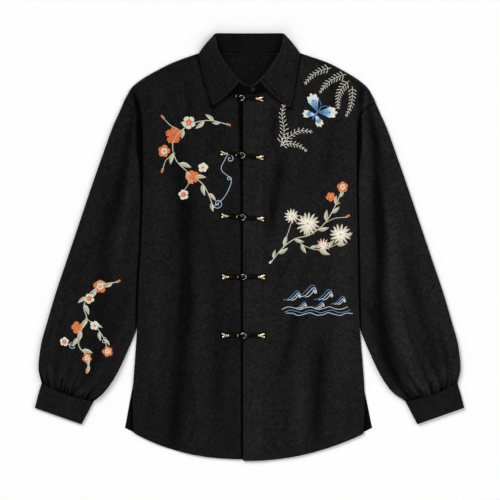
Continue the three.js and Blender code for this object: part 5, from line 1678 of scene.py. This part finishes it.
def lay_threads(colour, mat):
    stitches = THREADS.get(colour, [])
    points = np.array([p for p, _ in stitches]).reshape(-1, 3)
    count = 3 * STITCH_ROWS
    faces = (np.array(STITCH_FACES)[None] + np.arange(len(stitches))[:, None, None] * count).reshape(-1, 4)
    tones = np.repeat([tone for _, tone in stitches], count)
    obj = mesh_from("shirt_thread_" + colour, points, faces, mat, "tone", tones)
    print("threads", colour, len(stitches), "tris", 2 * len(faces))
    return piece(obj, "cloth_black" if colour == "black" else None)


THREAD_COLOURS = {
    "coral": ((0.86, 0.25, 0.06), (0.46, 0.045, 0.008)),
    "cream": ((0.88, 0.84, 0.72), (0.42, 0.36, 0.25)),
    "beige": ((0.80, 0.74, 0.60), (0.38, 0.31, 0.21)),
    "sage": ((0.70, 0.70, 0.54), (0.26, 0.29, 0.18)),
    "blue": ((0.20, 0.42, 0.66), (0.03, 0.10, 0.24)),
    "pale": ((0.62, 0.74, 0.86), (0.36, 0.50, 0.66)),
    "black": ((0.0045, 0.0045, 0.0048), (0.002, 0.002, 0.002)),
}
for colour, (light, dark) in THREAD_COLOURS.items():
    lay_threads(colour, thread_material("thread_" + colour, light, dark, 0.1 if colour == "black" else 0.28))

# Floor, light and camera
PX = 1.85  # millimetres to a pixel of the photo
CAMERA_AT = (0.9, -6.5)
FRAME_MM = 500 * PX
FLOOR_HALF = 6000.0
LENS, SENSOR = 200.0, 36.0


def build_floor():
    m, nodes, links, shader = material("floor_pale")
    shader.inputs["Base Color"].default_value = (0.93, 0.93, 0.93, 1)
    shader.inputs["Roughness"].default_value = 0.9
    shader.inputs["Specular IOR Level"].default_value = 0.1
    corners = [(x * FLOOR_HALF, y * FLOOR_HALF, 0) for x, y in ((-1, -1), (1, -1), (1, 1), (-1, 1))]
    mesh_from("floor", corners, [(0, 1, 2, 3)], m)


build_floor()


def sun(name, direction, strength, spread):
    light = bpy.data.lights.new(name, "SUN")
    light.energy = strength
    light.angle = math.radians(spread)
    obj = bpy.data.objects.new(name, light)
    obj.rotation_mode = "QUATERNION"
    obj.rotation_quaternion = Vector(direction).to_track_quat("-Z", "Y")
    bpy.context.scene.collection.objects.link(obj)


# Three wide soft lights stand around the table, the strongest above the collar on the left
WORLD_LIGHT = 0.175
LIGHTS = (
    ("key", (0.62, -0.75, -1.0), 2.02, 34),
    ("side", (-0.9, -0.1, -1.0), 1.18, 45),
    ("foot", (0.15, 0.85, -1.0), 0.62, 50),
)
for row in LIGHTS:
    sun(*row)
world = bpy.data.worlds.new("studio")
world.use_nodes = True
world.node_tree.nodes["Background"].inputs[0].default_value = (1, 1, 1, 1)
world.node_tree.nodes["Background"].inputs[1].default_value = WORLD_LIGHT
bpy.context.scene.world = world
bpy.context.scene.view_settings.view_transform = "Standard"
bpy.context.scene.view_settings.look = "None"

camera = bpy.data.cameras.new("camera")
camera.lens = LENS
camera.sensor_width = SENSOR
eye = bpy.data.objects.new("camera", camera)
eye.location = (CAMERA_AT[0] * MM, CAMERA_AT[1] * MM, FRAME_MM / (SENSOR / LENS) * MM)
camera.clip_end = 50
bpy.context.scene.collection.objects.link(eye)
bpy.context.scene.camera = eye

# What each cloth piece was cut to, in metres, and its flat area
CUTS = table(
    "w l area",
    (0.27, 0.775, 0.165), (0.27, 0.775, 0.165), (0.037, 0.68, 0.025), (0.47, 0.75, 0.305),
    (0.3, 0.6, 0.145), (0.3, 0.6, 0.145), (0.21, 0.047, 0.0098), (0.21, 0.047, 0.0098),
    (0.072, 0.42, 0.0185), (0.038, 0.40, 0.013),
)
PAIRS = [pair[side] for pair in (FRONT, SLEEVES, CUFFS) for side in ("left", "right")]
SHEETS = PAIRS[:2] + [PLACKET, BACK] + PAIRS[2:] + [LEAF, STAND]
for k, obj in enumerate(SHEETS):
    w, l, area = (float(CUTS[c][k]) for c in ("w", "l", "area"))
    print("cloth", obj.name, round(cloth_area(obj), 4), "cut", area, "tris", 2 * len(obj.data.polygons))
